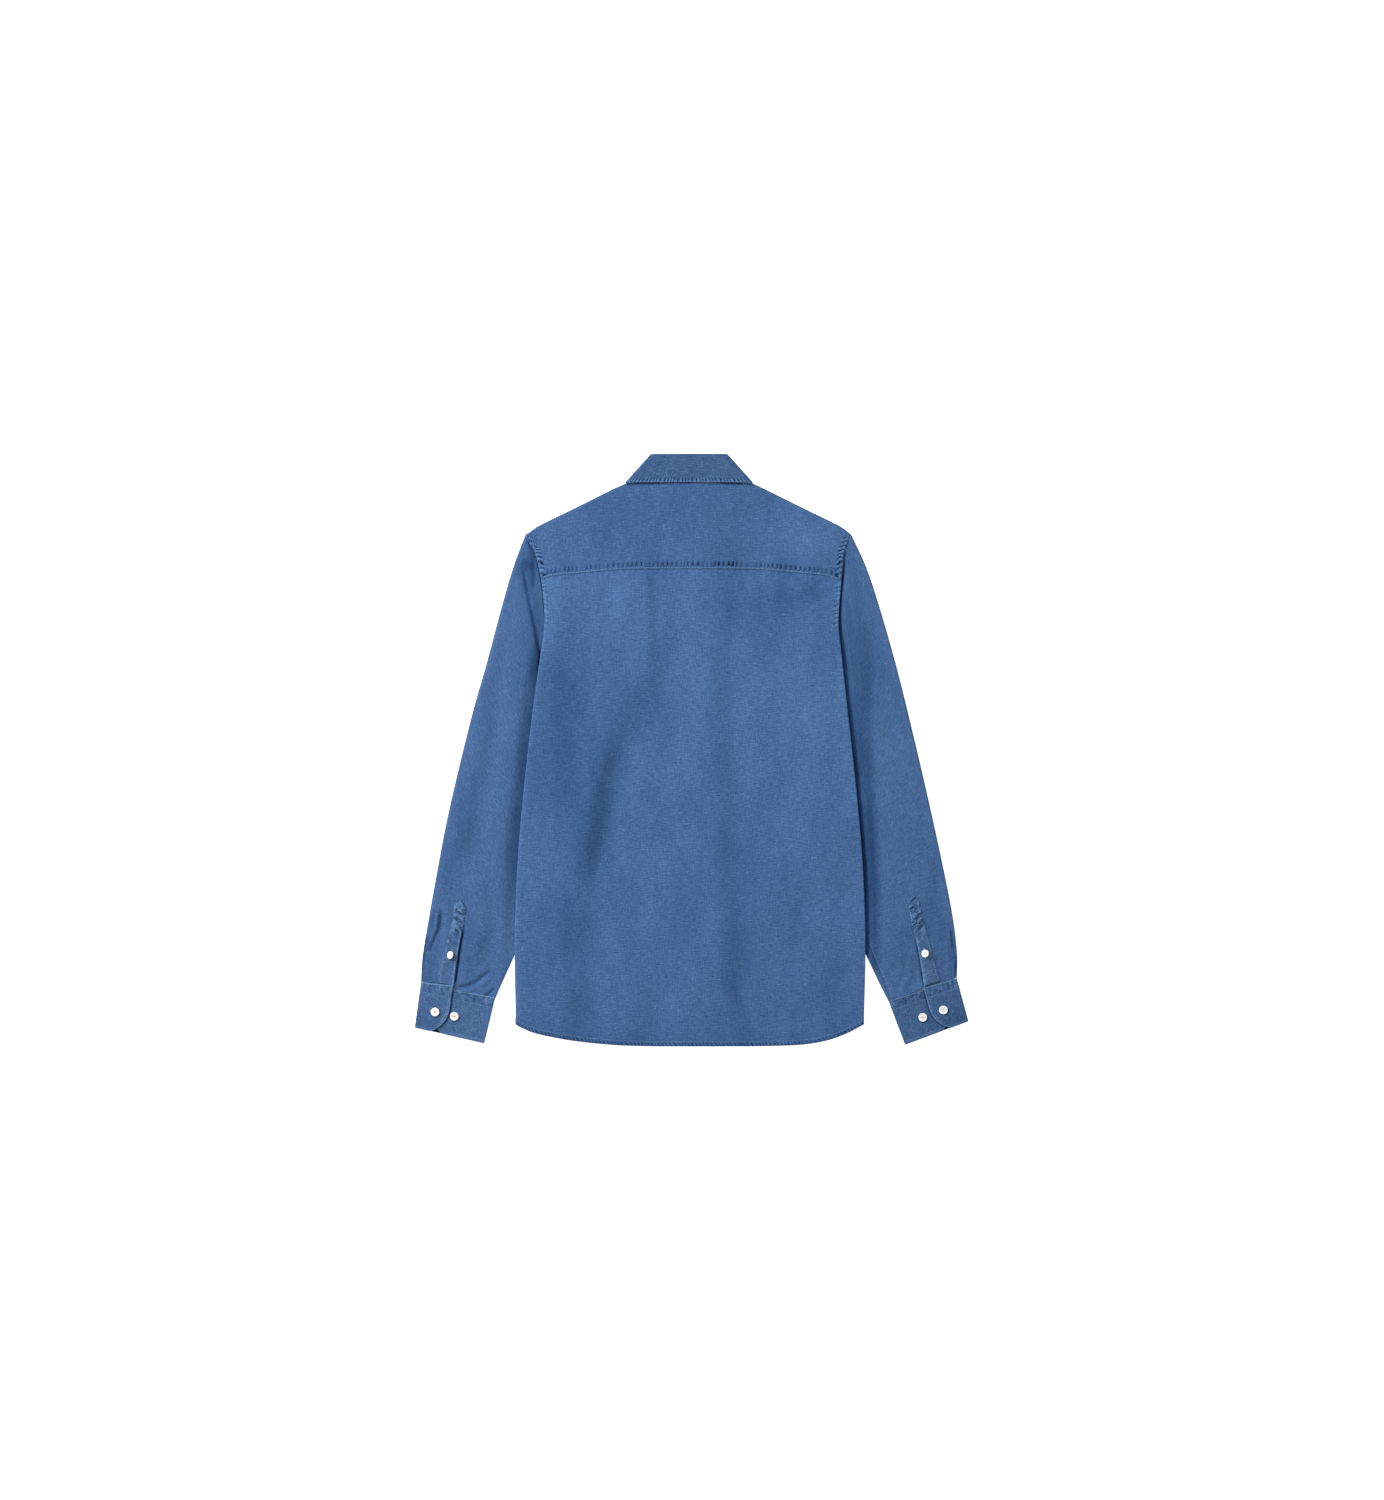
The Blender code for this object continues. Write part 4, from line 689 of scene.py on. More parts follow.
def make_yoke(cloth):
    us = steps(0, 0.004, 1, 0.996, 330, 1, 1)
    seam_x = blend(-trunk_edge("left", YOKE_SIDE) + 0.1, trunk_edge("right", YOKE_SIDE) - 0.1, us)
    bottom = np.stack([seam_x, seam_down(seam_x) + 0.2], -1)
    neck = NECK_HALF + 1.4
    tips = (-SHOULDER_TIP["left"] + 0.1, SHOULDER_TIP["right"] - 0.1)
    x = np.interp(us, (0, SHOULDER_SHARE, 1 - SHOULDER_SHARE, 1), (tips[0], -neck, neck, tips[1]))
    on_shoulder = np.abs(x) >= neck - 1e-6
    outline = np.stack([x, np.where(on_shoulder, shoulder_down(x), back_neck(x))], -1)
    radius = (trunk_z(x, outline[:, 1]) - lower_z(x, outline[:, 1])) / 2
    way = shoulder_way(x)
    top = np.where(on_shoulder[:, None], outline - way * (radius + 0.35)[:, None], outline)
    side_down = steps(YOKE_SIDE, 160, 16, 121.5, 38, YOKE_TOP, 16)
    left, right = side_edges(side_down)
    left[0], right[0], left[-1], right[-1] = bottom[0], bottom[-1], top[0], top[-1]
    vs = share_of(side_down)
    flat = fill(bottom, top, left, right, us, vs)
    x, down = flat[..., 0], flat[..., 1]
    off = seam_down(x) - down
    allowance = smooth((11.5 - off) / 2.0)
    middle = 0.62 + 0.38 * bell(x - 40, 75)
    ripple = middle * pucker(x, off - 1.6, 6.0, 10.5, 31)
    z = trunk_z(x, down) + 0.35 * allowance + 1.5 * ripple
    z = z - 0.35 * bell(off - 2.2, 0.7)
    # The tone paints a pale line at the seam, shade in the groove above it, and the puckers' light and shade.
    tone = 1 + 0.24 * bell(off, 0.9) - 0.1 * bell(off - 2.2, 0.8) + 1.3 * ripple
    tone = tone + trunk_tone(x, down)
    for side, sign in SIGN.items():
        edge = trunk_edge(side, down) - x * sign
        run = down - 0.3 * edge + 2.6 * uneven(x, down, 6, 35)
        ripple = ticks(run, edge - 0.8, 6.4, 10.5, 33) * smooth((down - 104) / 8)
        z = z + 0.8 * ripple - 0.35 * bell(edge - 3, 0.9)
        # Painted light and shade on the armhole's crinkles, a painted highlight along its edge, and the painted shadow
        # where the yoke seam meets the armhole.
        tone = tone + ripple - 0.2 * np.abs(ripple) + 0.2 * beyond(edge, 1.3)
        tone = tone - 0.55 * bell(off - 1.5 - 0.4 * edge, 1.6) * smooth((11 - edge) / 3)
    # The collar leaf's painted cast shadow on the yoke, just under its lower edge.
    tone = tone - 0.8 * bell(down - FALL - 1.0, 1.2) * smooth((84.5 - np.abs(x)) / 2)
    rows = [lifted(flat, z)]
    high, low = z[-1], lower_z(top[:, 0], top[:, 1])
    for step in range(1, 11):
        angle = math.pi * step / 10
        spot = top + way * (radius * math.sin(angle))[:, None]
        rows.append(lifted(spot, blend(low, high, (1 + math.cos(angle)) / 2))[None])
    side_x = edge_on(x[0], FRONT_SIDE) * 0.999
    share = np.clip(np.minimum(us, 1 - us) / SHOULDER_SHARE, 0, 1)
    edge_x = np.sign(x[0]) * front_neck(NECK_ANGLE)[0]
    seam = np.stack([blend(side_x, edge_x, share), blend(FRONT_SIDE, front_neck(NECK_ANGLE)[1], share)], -1)
    for t in np.linspace(0, 1, 13)[1:]:
        spot = blend(top, seam, t)
        tip_side = np.stack([edge_on(x[0], spot[:, 1]), spot[:, 1]], -1)
        around = np.arcsin(np.clip((spot[:, 1] - NECK_SIDE) / NECK_FRONT, 0, 1))
        neck_side = np.stack([np.sign(x[0]) * (front_neck(around)[0] + 0.4), spot[:, 1]], -1)
        spot = blend(spot, tip_side, (1 - smooth(share / 0.15))[:, None])
        spot = blend(spot, neck_side, smooth((share - 0.8) / 0.2)[:, None])
        rows.append(lifted(spot, lower_z(spot[:, 0], spot[:, 1]))[None])
    points = np.concatenate(rows)
    keep = np.ones((len(points) - 1, len(us) - 1), bool)
    both = on_shoulder[1:] & on_shoulder[:-1]
    keep[len(flat) - 1:] = both[None]
    tones = np.concatenate([tone, np.ones((len(points) - len(tone), len(us)))])
    weave = plan(points)
    weave[..., 1] = YOKE_SIDE - run_along(points)
    piece = cloth_piece("yoke_cloth", points, weave, finish("yoke cotton"), cloth.thickness, tones, keep=keep)
    adopt(piece, "yoke")


def make_front(side, cloth):
    sign = SIGN[side]
    centre = -BAND_HALF if side == "right" else BAND_HALF + 0.3
    side_down = steps(767, 744, 10, 228, 110, 136, 30)
    edges = trunk_edge(side, side_down) - 0.1
    roll = ROLL / 190
    share = 0.62
    us = steps(0, roll, 6, share, 34, 1, 26)
    out = blend(edges[0], centre, us)
    bottom = np.stack([out, hem_down(sign * out) - 2.5], -1)
    seam_share = np.clip(us / share, 0, 1)
    neck_x, neck_y = front_neck(NECK_ANGLE)
    angle = blend(NECK_ANGLE, math.acos(centre / NECK_HALF), np.clip((us - share) / (1 - share), 0, 1))
    around = np.stack(front_neck(angle, 0.4), -1)
    seam = np.stack([blend(edges[-1], neck_x, seam_share), blend(FRONT_SIDE, neck_y, seam_share)], -1)
    top = np.where((us <= share)[:, None], seam, around)
    left = np.stack([edges, side_down], -1)
    left[0], left[-1] = bottom[0], top[0]
    vs = share_of(side_down)
    right = np.stack([np.full(len(vs), centre), blend(bottom[-1, 1], top[-1, 1], vs)], -1)
    flat = fill(bottom, top, left, right, us, vs)
    flat[..., 0] *= sign
    x, down = flat[..., 0], flat[..., 1]
    z = front_z(side, x, down)
    z = z + 0.08 * uneven(x, down, 26, 41) * (z > 1.2)
    points = lifted(flat, z)
    roll_sides(points, side, False, 1)
    piece = cloth_piece(f"front_{side}_cloth", points, plan(flat), finish("body cotton"), cloth.thickness)
    adopt(piece, f"front_{side}")


def make_band(cloth):
    xs = steps(-BAND_HALF, BAND_HALF, 14)
    top, bottom = front_neck_down(xs) + 0.3, hem_down(xs) - 2.5
    vs = steps(0, 1, 220)
    down = blend(bottom[None], top[None], vs[:, None])
    x = np.broadcast_to(xs, down.shape)
    edge = BAND_HALF - np.abs(x)
    z = BAND_Z - band_drop(down) + 0.12 * pucker(down, edge - 4, 7, 6, 43) * (down < 690)
    points = np.stack([x, down, z], -1)
    piece = cloth_piece("front_band_cloth", points, plan(points), finish("body cotton"), cloth.doubled)
    adopt(piece, "front_band")


# ---------------------------------------------------------------- sleeves, cuffs and plackets


def sleeve_points(side, rings):
    """The sleeve's rings from its shoulder to its cuff, their weave and their tone. Most of a ring's points lie
    between its outer fold and the trunk's edge, where the sleeve shows."""
    sign, rows = SIGN[side], SLEEVES[side]
    split = []
    for k in rings:
        shares = np.linspace(0.05, 0.9, 400)
        out, down = section(side, k, shares)
        hit = np.nonzero((out - trunk_edge(side, down) < 2.5) & (down > ARMHOLE_END - 60))[0]
        split.append(shares[hit[0]] if len(hit) else 0.9)
    split[0] = (ARMHOLE_END - rows["outer_down"][0]) / (rows["inner_down"][0] - rows["outer_down"][0])
    grid, weave, tones = [], [], []
    for middle, k in zip(split, rings):
        outer, inner = [np.array(section(side, k, share)) for share in (0.0, 1.0)]
        outer_way, inner_way = [edge_way(side, k, edge) for edge in ("outer", "inner")]
        outer_r, inner_r = [(float(sleeve_z(side, *section(side, k, share))) - REST_Z) / 2 for share in (0.03, 0.97)]
        width = np.linalg.norm(outer - inner)
        first = 2.4 * (outer_r + 0.35) / width
        power = blend(1.7, 1.0, float(smooth((k - 6.5) / 1.5)))
        shares = middle - (middle - first) * np.linspace(1, 0, 65) ** power
        shares = np.concatenate([shares, np.linspace(middle, 1 - 1.5 / width, 10)[1:]])
        start, stop = outer - outer_way * (outer_r + 0.35), inner - inner_way * (inner_r + 0.35)
        flat = np.concatenate([[start], np.stack(section(side, k, shares), -1), [stop]])
        out, down = flat.T
        x = sign * out
        rise, wear_and_shade = creased(SLEEVE_CREASES[side], x, down)
        soft = 0.2 * uneven(x, down, 26, 51) * smooth((out - trunk_edge(side, down)) / 8)
        top_z = sleeve_z(side, out, down) + smooth(np.arange(len(flat)) / 4) * (rise + soft)
        turn_in, turn_out = turn(stop, inner_way, inner_r, 1), turn(start, outer_way, outer_r, -1)
        under = np.concatenate([flat[::-2], flat[:1]])
        ring = np.concatenate([lifted(flat, top_z), turn_in, lifted(under, REST_Z), turn_out])
        ring[:, 0] *= sign
        grid.append(ring)
        # The creases' painted shade, the patches of wash and shade, and the painted shade beside the trunk.
        wear_and_shade = wear_and_shade + wash_and_shade_patches(SLEEVE_SHADES[side], x, down) + sleeve_painted_shade(side, out, down)
        # A painted highlight along the outer fold.
        wear_and_shade = wear_and_shade + 0.12 * np.exp(-np.arange(len(flat)) / 1.2)
        # The fold round the outer edge carries the creases' painted shade too.
        fold = 1 + creased(SLEEVE_CREASES[side], sign * turn_out[:, 0], turn_out[:, 1])[1]
        tones.append(np.concatenate([wear_and_shade, np.ones(len(turn_in) + len(under)), fold]))
        weave.append(run_along(np.concatenate([ring, ring[:1]])))
    grid, across = np.array(grid), np.array(weave)
    run = run_along(0.5 * (grid[:, 0] + grid[:, 60]))
    return grid, np.stack([across, np.broadcast_to(run[:, None], across.shape)], -1), np.array(tones)


def section(side, k, share):
    """A place across the sleeve, from 0 at its outer fold to 1 at its underarm edge."""
    outer, outer_down, inner, inner_down = [sleeve_line(side, name, k) for name in
                                            ("outer", "outer_down", "inner", "inner_down")]
    rows = SLEEVES[side]
    down = blend(rows["outer_down"][0], rows["inner_down"][0], share)
    straight = blend(rows["outer"][0], rows["inner"][0], share)
    edge = np.where(down <= ARMHOLE_END, trunk_edge(side, down), tucked_edge(side, down))
    bulge = (edge - straight) * smooth(1 - k / 2.5)
    return blend(outer, inner, share) + bulge, blend(outer_down, inner_down, share)


def edge_way(side, k, edge):
    """The way out of a sleeve at its outer fold or its underarm edge."""
    last = len(SLEEVES[side]["outer"]) - 1
    a, b = max(k - 0.1, 0), min(k + 0.1, last)
    step = [float(sleeve_line(side, name, b) - sleeve_line(side, name, a)) for name in (edge, edge + "_down")]
    way = np.array([step[1], -step[0]]) if edge == "outer" else np.array([-step[1], step[0]])
    way = way / np.linalg.norm(way)
    if edge == "outer":
        way = blend(way, np.array(TIP_WAY), smooth(1 - k / 1.2))
    return way / np.linalg.norm(way)


def turn(place_at, way, radius, up, count=8):
    """The points of a folded edge between its two layers."""
    angle = np.pi * np.arange(1, count) / count
    spots = place_at[None] + way[None] * (radius * np.sin(angle))[:, None]
    return lifted(spots, REST_Z + radius * (1 + up * np.cos(angle)))


def make_sleeve(side, cloth):
    points, weave, tone = sleeve_points(side, steps(0, 7, 112, 10, 108))
    piece = cloth_piece(f"sleeve_{side}_cloth", points, weave, finish("sleeve cotton"), cloth.thickness, tone,
                        closed=True)
    adopt(piece, f"sleeve_{side}")


def cuff_line(side, t):
    cuff = CUFFS[side]
    t = np.asarray(t, float)[..., None]
    return blend(*np.array(cuff["outer"]), t), blend(*np.array(cuff["inner"]), t)


def cuff_place(side, across, t):
    outer, inner = cuff_line(side, t)
    share = (np.asarray(across, float) / np.linalg.norm(outer - inner, axis=-1))[..., None]
    return blend(outer, inner, share)


def cuff_rise(side, across, over):
    """How far a cuff's top edge lies above the straight line between its folds."""
    at, (far, near) = CUFFS[side]["overlap"], CUFFS[side]["rise"]
    across = np.asarray(across, float)
    return np.where(over, far * np.clip(across / at, 0, 1), near * np.clip((across - at) / (100 - at), 0, 1))


def cuff_spot(side, across, t, over):
    """A place on a cuff, with the step that its top edge has at the slit."""
    return cuff_place(side, across, t - cuff_rise(side, across, over) / CUFF_DEPTH * (1 - smooth(np.asarray(t) / 0.25)))


def round_off(t):
    """How far a cuff's end is cut back at t by its rounded corner."""
    low = np.maximum(0.0, (np.asarray(t) - CUFF_ROUND_FROM) / (1.08 - CUFF_ROUND_FROM))
    return CUFF_ROUND * (1 - np.sqrt(np.maximum(0, 1 - low * low)))


def make_cuff(side, cloth):
    left, overlap = side == "left", CUFFS[side]["overlap"]
    over_r, under_r = (CUFF_OVER_Z - WING_Z) / 2, (CUFF_UNDER_Z - WING_Z) / 2
    under_count, over_count = 65, 31
    rows, weave, tones = [], [], []
    for t in steps(0.0, 0.05, 5, 0.94, 48, 0.992, 6):
        outer, inner = cuff_line(side, t)
        width, cut_back = float(np.linalg.norm(outer - inner)), float(round_off(t))
        inner_turn, outer_turn = width - 0.55 - under_r, 0.55 + over_r
        start, stop = UNDERLAP + cut_back, overlap - cut_back
        angle = np.pi * np.arange(1, 8) / 8
        across = np.concatenate([
            steps(start, inner_turn, under_count - 1), inner_turn + under_r * np.sin(angle),
            steps(inner_turn, outer_turn, 24), outer_turn - over_r * np.sin(angle),
            steps(outer_turn, stop, over_count - 1)])
        level = np.concatenate([
            np.full(under_count, CUFF_UNDER_Z), WING_Z + under_r * (1 + np.cos(angle)), np.full(25, WING_Z),
            WING_Z + over_r * (1 - np.cos(angle)), np.full(over_count, CUFF_OVER_Z)])
        deep, off = t * CUFF_DEPTH, CUFF_DEPTH - t * CUFF_DEPTH
        upper, end = level > 1.5, stop - across[-over_count:]
        over = np.arange(len(across)) >= len(across) - over_count - len(angle)
        low_seam, top_seam = pucker(across, off - 3.5, 6.2, 8, 61), pucker(across, deep - 0.8, 6.4, 13, 62)
        crumple = smooth((deep - 1) / 2) * smooth((15 - deep) / 6) * uneven(across, deep, 3.4, 66)
        groove = -0.3 * (bell(off - 5, 0.8) + bell(deep - 12.5, 0.8) + bell(deep - 2.2, 0.8))
        lift = (0.36 if left else 0.1) * cuff_rise(side, across, over) * (1 - smooth(t / 0.14))
        z = level + (0.5 * low_seam + 0.7 * top_seam + groove) * upper + 0.16 * uneven(across, deep, 17, 63)
        z[-over_count:] = z[-over_count:] - 0.25 * bell(end - 4.6, 0.9) + 0.6 * np.exp(-end / 4)
        z = z + (0.5 * crumple + lift) * upper
        flat = cuff_spot(side, across, np.full(across.shape, t), over)
        flat[:, 0] *= SIGN[side]
        rows.append(lifted(flat, z))
        weave.append(np.stack([np.full(across.shape, deep), run_along(rows[-1])], -1))
        # A paler lower fold and a painted highlight along the top edge, stronger on the left cuff.
        wear_and_shade = 1 + 0.25 * math.exp(-off) + (0.9 if left else 0.35) * bell(deep - 0.5, 0.8)
        # The crumples' and puckers' light and shade painted in, with pale lines beside the stitched grooves.
        wear_and_shade = wear_and_shade + 0.34 * crumple + 0.06 * bell(deep - 12.9, 0.8) + 0.12 * bell(off - 4.6, 0.8)
        wear_and_shade = wear_and_shade + 0.14 * low_seam + 0.16 * top_seam + 0.05 * uneven(across, deep, 24, 64)
        # A painted highlight along the overlap's end.
        wear_and_shade[-over_count:] += (0.85 if left else 1.2) * bell(end - 0.8, 0.9)
        # The painted shadow that the overlap's end casts on the underlap.
        wear_and_shade[:under_count] -= 0.64 * bell(across[:under_count] - stop - 0.7, 1.3)
        # Painted shadow in the gap at the slit, on the inner cloth between the rounded corners.
        wear_and_shade = wear_and_shade - 0.85 * (level < 1.5) * smooth((11 - np.abs(across - 29)) / 2) * smooth((7.5 - off) / 2)
        tones.append(np.minimum(wear_and_shade, 1.9) * (1.0 if left else 0.86))
    points, weave, tone = np.array(rows), np.array(weave), np.array(tones)
    piece = cloth_piece(f"cuff_{side}_cloth", points, weave, finish("cuff cotton"), cloth.doubled, tone)
    spots, wear_and_shade = np.empty(3 * len(piece.data.vertices)), np.empty(len(piece.data.vertices))
    piece.data.vertices.foreach_get("co", spots)
    piece.data.attributes["tone"].data.foreach_get("value", wear_and_shade)
    # The painted shadows are taken off the lower face, where they would show from underneath.
    wear_and_shade[(spots[2::3] < WING_Z * MM) & (wear_and_shade < 0.7)] = 1.0
    piece.data.attributes["tone"].data.foreach_set("value", wear_and_shade)
    adopt(piece, f"cuff_{side}")


def placket_place(side, share, t):
    """A place on a placket, from its outer edge at share 0, and t from its point to the cuff."""
    rows = PLACKETS[side]
    k = np.asarray(t) * 4
    out, out_down, inn, inn_down = [curve(np.arange(5), rows[name], k) for name in
                                    ("outer", "outer_down", "inner", "inner_down")]
    out, down = blend(out, inn, share), blend(out_down, inn_down, share)
    peak = (1 - np.abs(2 * share - 1)) * np.maximum(0, 1 - t * 9)
    return out, down - peak * (rows["outer_down"][0] - PLACKET_POINT[side])


def placket_wrinkle(side, x, down):
    """Sharp little folds, between -1 and 1, that curl across a placket's stitched top."""
    lean = 0.55 * SIGN[side] * (x - 308 * SIGN[side])
    bend = 2.5 * uneven(x, down, 8, 77)
    fold = uneven(down * 0.95 + lean + bend, x * 0.42 - bend, 3.4, 71 + (side == "right"))
    return 1 - 2.6 * np.abs(fold)


def placket_z(side, out, down):
    """The placket's height over the sleeve, creased in its stitched-down top and free along its slit."""
    x = SIGN[side] * out
    level = sleeve_z(side, out, down) + creased(SLEEVE_CREASES[side], x, down)[0]
    top = smooth((PLACKET_HELD - down) / 10)
    crumple = 1.8 * placket_wrinkle(side, x, down) + 0.4 * uneven(x, down, 2.8, 73)
    low = smooth((690 - down) / 40) * smooth((down - 640) / 10)
    return np.minimum(level, 5.1) + 1.2 + top * crumple + (0.2 + 0.45 * low) * uneven(x, down, 6.5, 75)


def make_placket(side, cloth):
    ts, shares = steps(0, 0.975, 130), steps(0, 1, 22)
    share, t = np.meshgrid(shares, ts)
    out, down = placket_place(side, share, t)
    z = placket_z(side, out, down)
    edge, slit = np.minimum(share, 1 - share) * PLACKET_WIDTH, (1 - share) * PLACKET_WIDTH
    held = smooth((PLACKET_HELD - down) / 8)
    rim = 1.1 * np.exp(-edge / 1.5) * blend((share < 0.5) * 1.0, 0.8, held)
    z = z - 0.35 * bell(edge - 2.2, 0.7) - rim + 0.7 * (1 - held) * np.exp(-slit / 2.5)
    points = np.stack([out * SIGN[side], down, z], -1)
    bumps = placket_wrinkle(side, out * SIGN[side], down)
    low = 0.4 * smooth((684 - down) / 30) * (1 - held)
    # The tone paints a highlight along the slit's free edge, paler outer edges, and the wrinkles' light and shade.
    tone = 1 + 0.85 * bell(slit - 0.6, 0.8) + 0.1 * np.exp(-edge / 0.9) + 0.62 * (held + low) * bumps
    weave = np.stack([share * 18, t * 115], -1)
    piece = cloth_piece(f"sleeve_placket_{side}_cloth", points, weave, finish("cuff cotton"), cloth.doubled, tone)
    adopt(piece, f"sleeve_placket_{side}")


# ---------------------------------------------------------------- collar

FOLD_HALF, EDGE_HALF, FALL = 52.9, 86.4, 39.4
ROLL_FRONT, COLLAR_POINT = (4.0, 74.0), (39.0, 138.0)
INWARD = (-0.757, 0.653)


def collar_path(back, corner, front):
    """Stations round the collar: the part it is in, how far along that part, and which side."""
    path = [("front", 1 - n / front, "left") for n in range(front + 1)]
    path += [("turn", 1 - n / corner, "left") for n in range(1, corner)]
    path += [("back", (1 - math.cos(math.pi * n / back)) / 2, "") for n in range(back + 1)]
    path += [("turn", n / corner, "right") for n in range(1, corner)]
    return path + [("front", n / front, "right") for n in range(front + 1)]


def inward(t):
    """The way in from the collar's side edge: level at the fold, and square to the edge lower down."""
    way = np.array(INWARD) * (1, float(smooth(t / 0.3)))
    return way / np.linalg.norm(way)


def leaf_corner(t):
    inset = (blend(LEAF_FOLD_Z, LEAF_EDGE_Z, t) - WING_Z) / 2 + 0.6
    way = inward(t)
    return blend(FOLD_HALF, EDGE_HALF, t) + way[0] * inset, blend(1.5, FALL - 0.8, t) + way[1] * inset


def wrap(corner, radius, low_z, share, way=INWARD):
    angle = math.pi * share
    reach = radius * math.sin(angle)
    return corner[0] - way[0] * reach, corner[1] - way[1] * reach, low_z + radius * (1 + math.cos(angle))


def leaf_point(part, share, side, t):
    back_z = blend(LEAF_FOLD_Z, LEAF_EDGE_Z, t)
    corner = leaf_corner(t)
    if part == "back":
        x = blend(-corner[0], corner[0], share)
        near_side = abs(2 * share - 1) ** 16
        down = blend(blend(1.5, FALL - 0.5, t), corner[1], near_side)
        wave = 0.18 * float(uneven(x, down, 21, 81)) * math.sin(math.pi * min(1, max(0, t)))
        return (x, down, back_z + wave), (0, 0, 1)
    sign = SIGN[side]
    if part == "turn":
        way = inward(t)
        x, down, z = wrap(corner, (back_z - WING_Z) / 2, WING_Z, share, way)
        angle = math.pi * share
        return (sign * x, down, z), (-way[0] * math.sin(angle) * sign, -way[1] * math.sin(angle),
                                     math.cos(angle))
    start, edge = leaf_corner(0), leaf_corner(1)
    bow = math.sin(math.pi * share)
    roll = (blend(start[0], ROLL_FRONT[0], share) + 7 * bow, blend(start[1], ROLL_FRONT[1], share) + 3 * bow)
    edge = (blend(edge[0], COLLAR_POINT[0], share), blend(edge[1], COLLAR_POINT[1], share))
    return (sign * blend(roll[0], edge[0], t), blend(roll[1], edge[1], t), WING_Z), (0, 0, -1)


def leaf_away(part, share, side):
    near, far = leaf_point(part, share, side, 0)[0], leaf_point(part, share, side, 0.25)[0]
    way = Vector((near[0] - far[0], near[1] - far[1]))
    return way.normalized()


def roll_point(part, share, side, away, t):
    (x, down, z), facing = leaf_point(part, share, side, 0)
    back_r, front_r = (LEAF_FOLD_Z - STAND_TOP_Z) / 2, (STAND_FRONT_Z - WING_Z) / 2
    radius = blend(back_r, front_r, {"back": 0, "front": 1, "turn": share}[part])
    angle = math.pi * (1 - t)
    inwards, reach = radius * (1 - math.cos(angle)), radius * math.sin(angle)
    return (x - facing[0] * inwards + away.x * reach, down - facing[1] * inwards + away.y * reach,
            z - facing[2] * inwards)


def make_leaf(cloth):
    path = collar_path(280, 12, 30)
    ts = list(steps(0, 0.08, 4, 0.78, 12, 1.0, 18))
    columns = []
    for part, share, side in path:
        away = leaf_away(part, share, side)
        column = [roll_point(part, share, side, away, t) for t in steps(0, 1, 10)[:-1]]
        column += [leaf_point(part, share, side, t)[0] for t in ts]
        columns.append(column)
    points = np.array(columns).transpose(1, 0, 2)
    leaf_t = np.concatenate([np.full(10, 0.0), ts])
    off = ((1 - leaf_t) * FALL)[:, None]
    run = run_along(points[-1])[None]
    back = np.zeros(len(path))
    back[[n for n, (part, _, _) in enumerate(path) if part == "back"]] = 1
    ripple = ticks(run, off - 0.6, 4.9, 7.5, 83)
    groove = -0.3 * bell(off - 2.2, 0.8)
    points[..., 2] += (0.5 * ripple + groove) * back[None]
    weave = np.stack([np.broadcast_to(run, points.shape[:2]),
                      np.broadcast_to((leaf_t * FALL - np.append(np.linspace(4, 0.3, 10), 0 * np.array(ts)))[:, None],
                                      points.shape[:2])], -1)
    # The tone paints light and shade onto the crinkles along the topstitching, with a paler lower edge and a darker
    # line above the stitches.
    tone = 1 + 0.08 * np.exp(-off / 1.1) + 0.76 * ripple - 0.12 * bell(off - 5.6, 1.1)
    piece = cloth_piece("collar_leaf_cloth", points, weave, finish("collar cotton"), cloth.doubled, tone)
    adopt(piece, "collar_leaf")


def stand_base(part, share, side):
    radius = (float(trunk_z(NECK_HALF, NECK_SIDE)) - STAND_FRONT_Z) / 2
    corner = (NECK_HALF + INWARD[0] * (radius + 0.6), NECK_SIDE - 1.0 + INWARD[1] * (radius + 0.6))
    if part == "back":
        x = blend(-corner[0], corner[0], share)
        down = blend(back_neck(x) - 0.1, corner[1], abs(2 * share - 1) ** 8)
        return x, down, float(trunk_z(x, back_neck(x)))
    sign = SIGN[side]
    if part == "turn":
        x, down, z = wrap(corner, radius, STAND_FRONT_Z, share)
        return sign * x, down, z
    out, down = front_neck(blend(0.03, math.pi / 2 - ROLL_FRONT[0] / NECK_HALF, share), -0.4)
    return sign * out, down, STAND_FRONT_Z


def stand_point(part, share, side, t):
    if part == "overlap":
        x = SIGN[side] * blend(ROLL_FRONT[0], -11.0, share)
        top_down = stand_point("front", 1, side, 1)[1] + 1.5 * share
        down, z = blend(float(front_neck_down(x)) - 0.8, top_down, t), STAND_FRONT_Z
    elif t == 1:
        away = leaf_away(part, share, side)
        x, down, z = roll_point(part, share, side, away, 0)
        x, down = x - away.x * 0.5, down - away.y * 0.5
    else:
        x, down, z = [blend(a, b, t) for a, b in zip(stand_base(part, share, side), stand_point(part, share, side, 1))]
    if part in ("front", "overlap"):
        z = STAND_FRONT_Z
        if side == "right":
            z = blend(STAND_FRONT_Z, UNDER_BAND_Z, float(smooth((41 - x) / 16)))
    return x, down, z


def make_stand(cloth):
    overlap = [("overlap", n / 6, "right") for n in range(1, 7)]
    path = [(part, share, "left") for part, share, _ in reversed(overlap)] + collar_path(60, 10, 30) + overlap
    points = np.array([[stand_point(*at, t) for at in path] for t in steps(0, 1, 12)])
    run = run_along(points[0])
    weave = np.stack([np.broadcast_to(run, points.shape[:2]),
                      np.broadcast_to(steps(0, 34, 12)[:, None], points.shape[:2])], -1)
    piece = cloth_piece("collar_stand_cloth", points, weave, finish("collar cotton"), cloth.doubled)
    adopt(piece, "collar_stand")


# ---------------------------------------------------------------- finishes


def node(tree, kind, inputs=(), **settings):
    made = tree.nodes.new(kind)
    for name, value in settings.items():
        setattr(made, name, value)
    for socket, value in dict(inputs).items():
        if isinstance(value, bpy.types.NodeSocket):
            tree.links.new(value, made.inputs[socket])
        else:
            made.inputs[socket].default_value = value
    return made


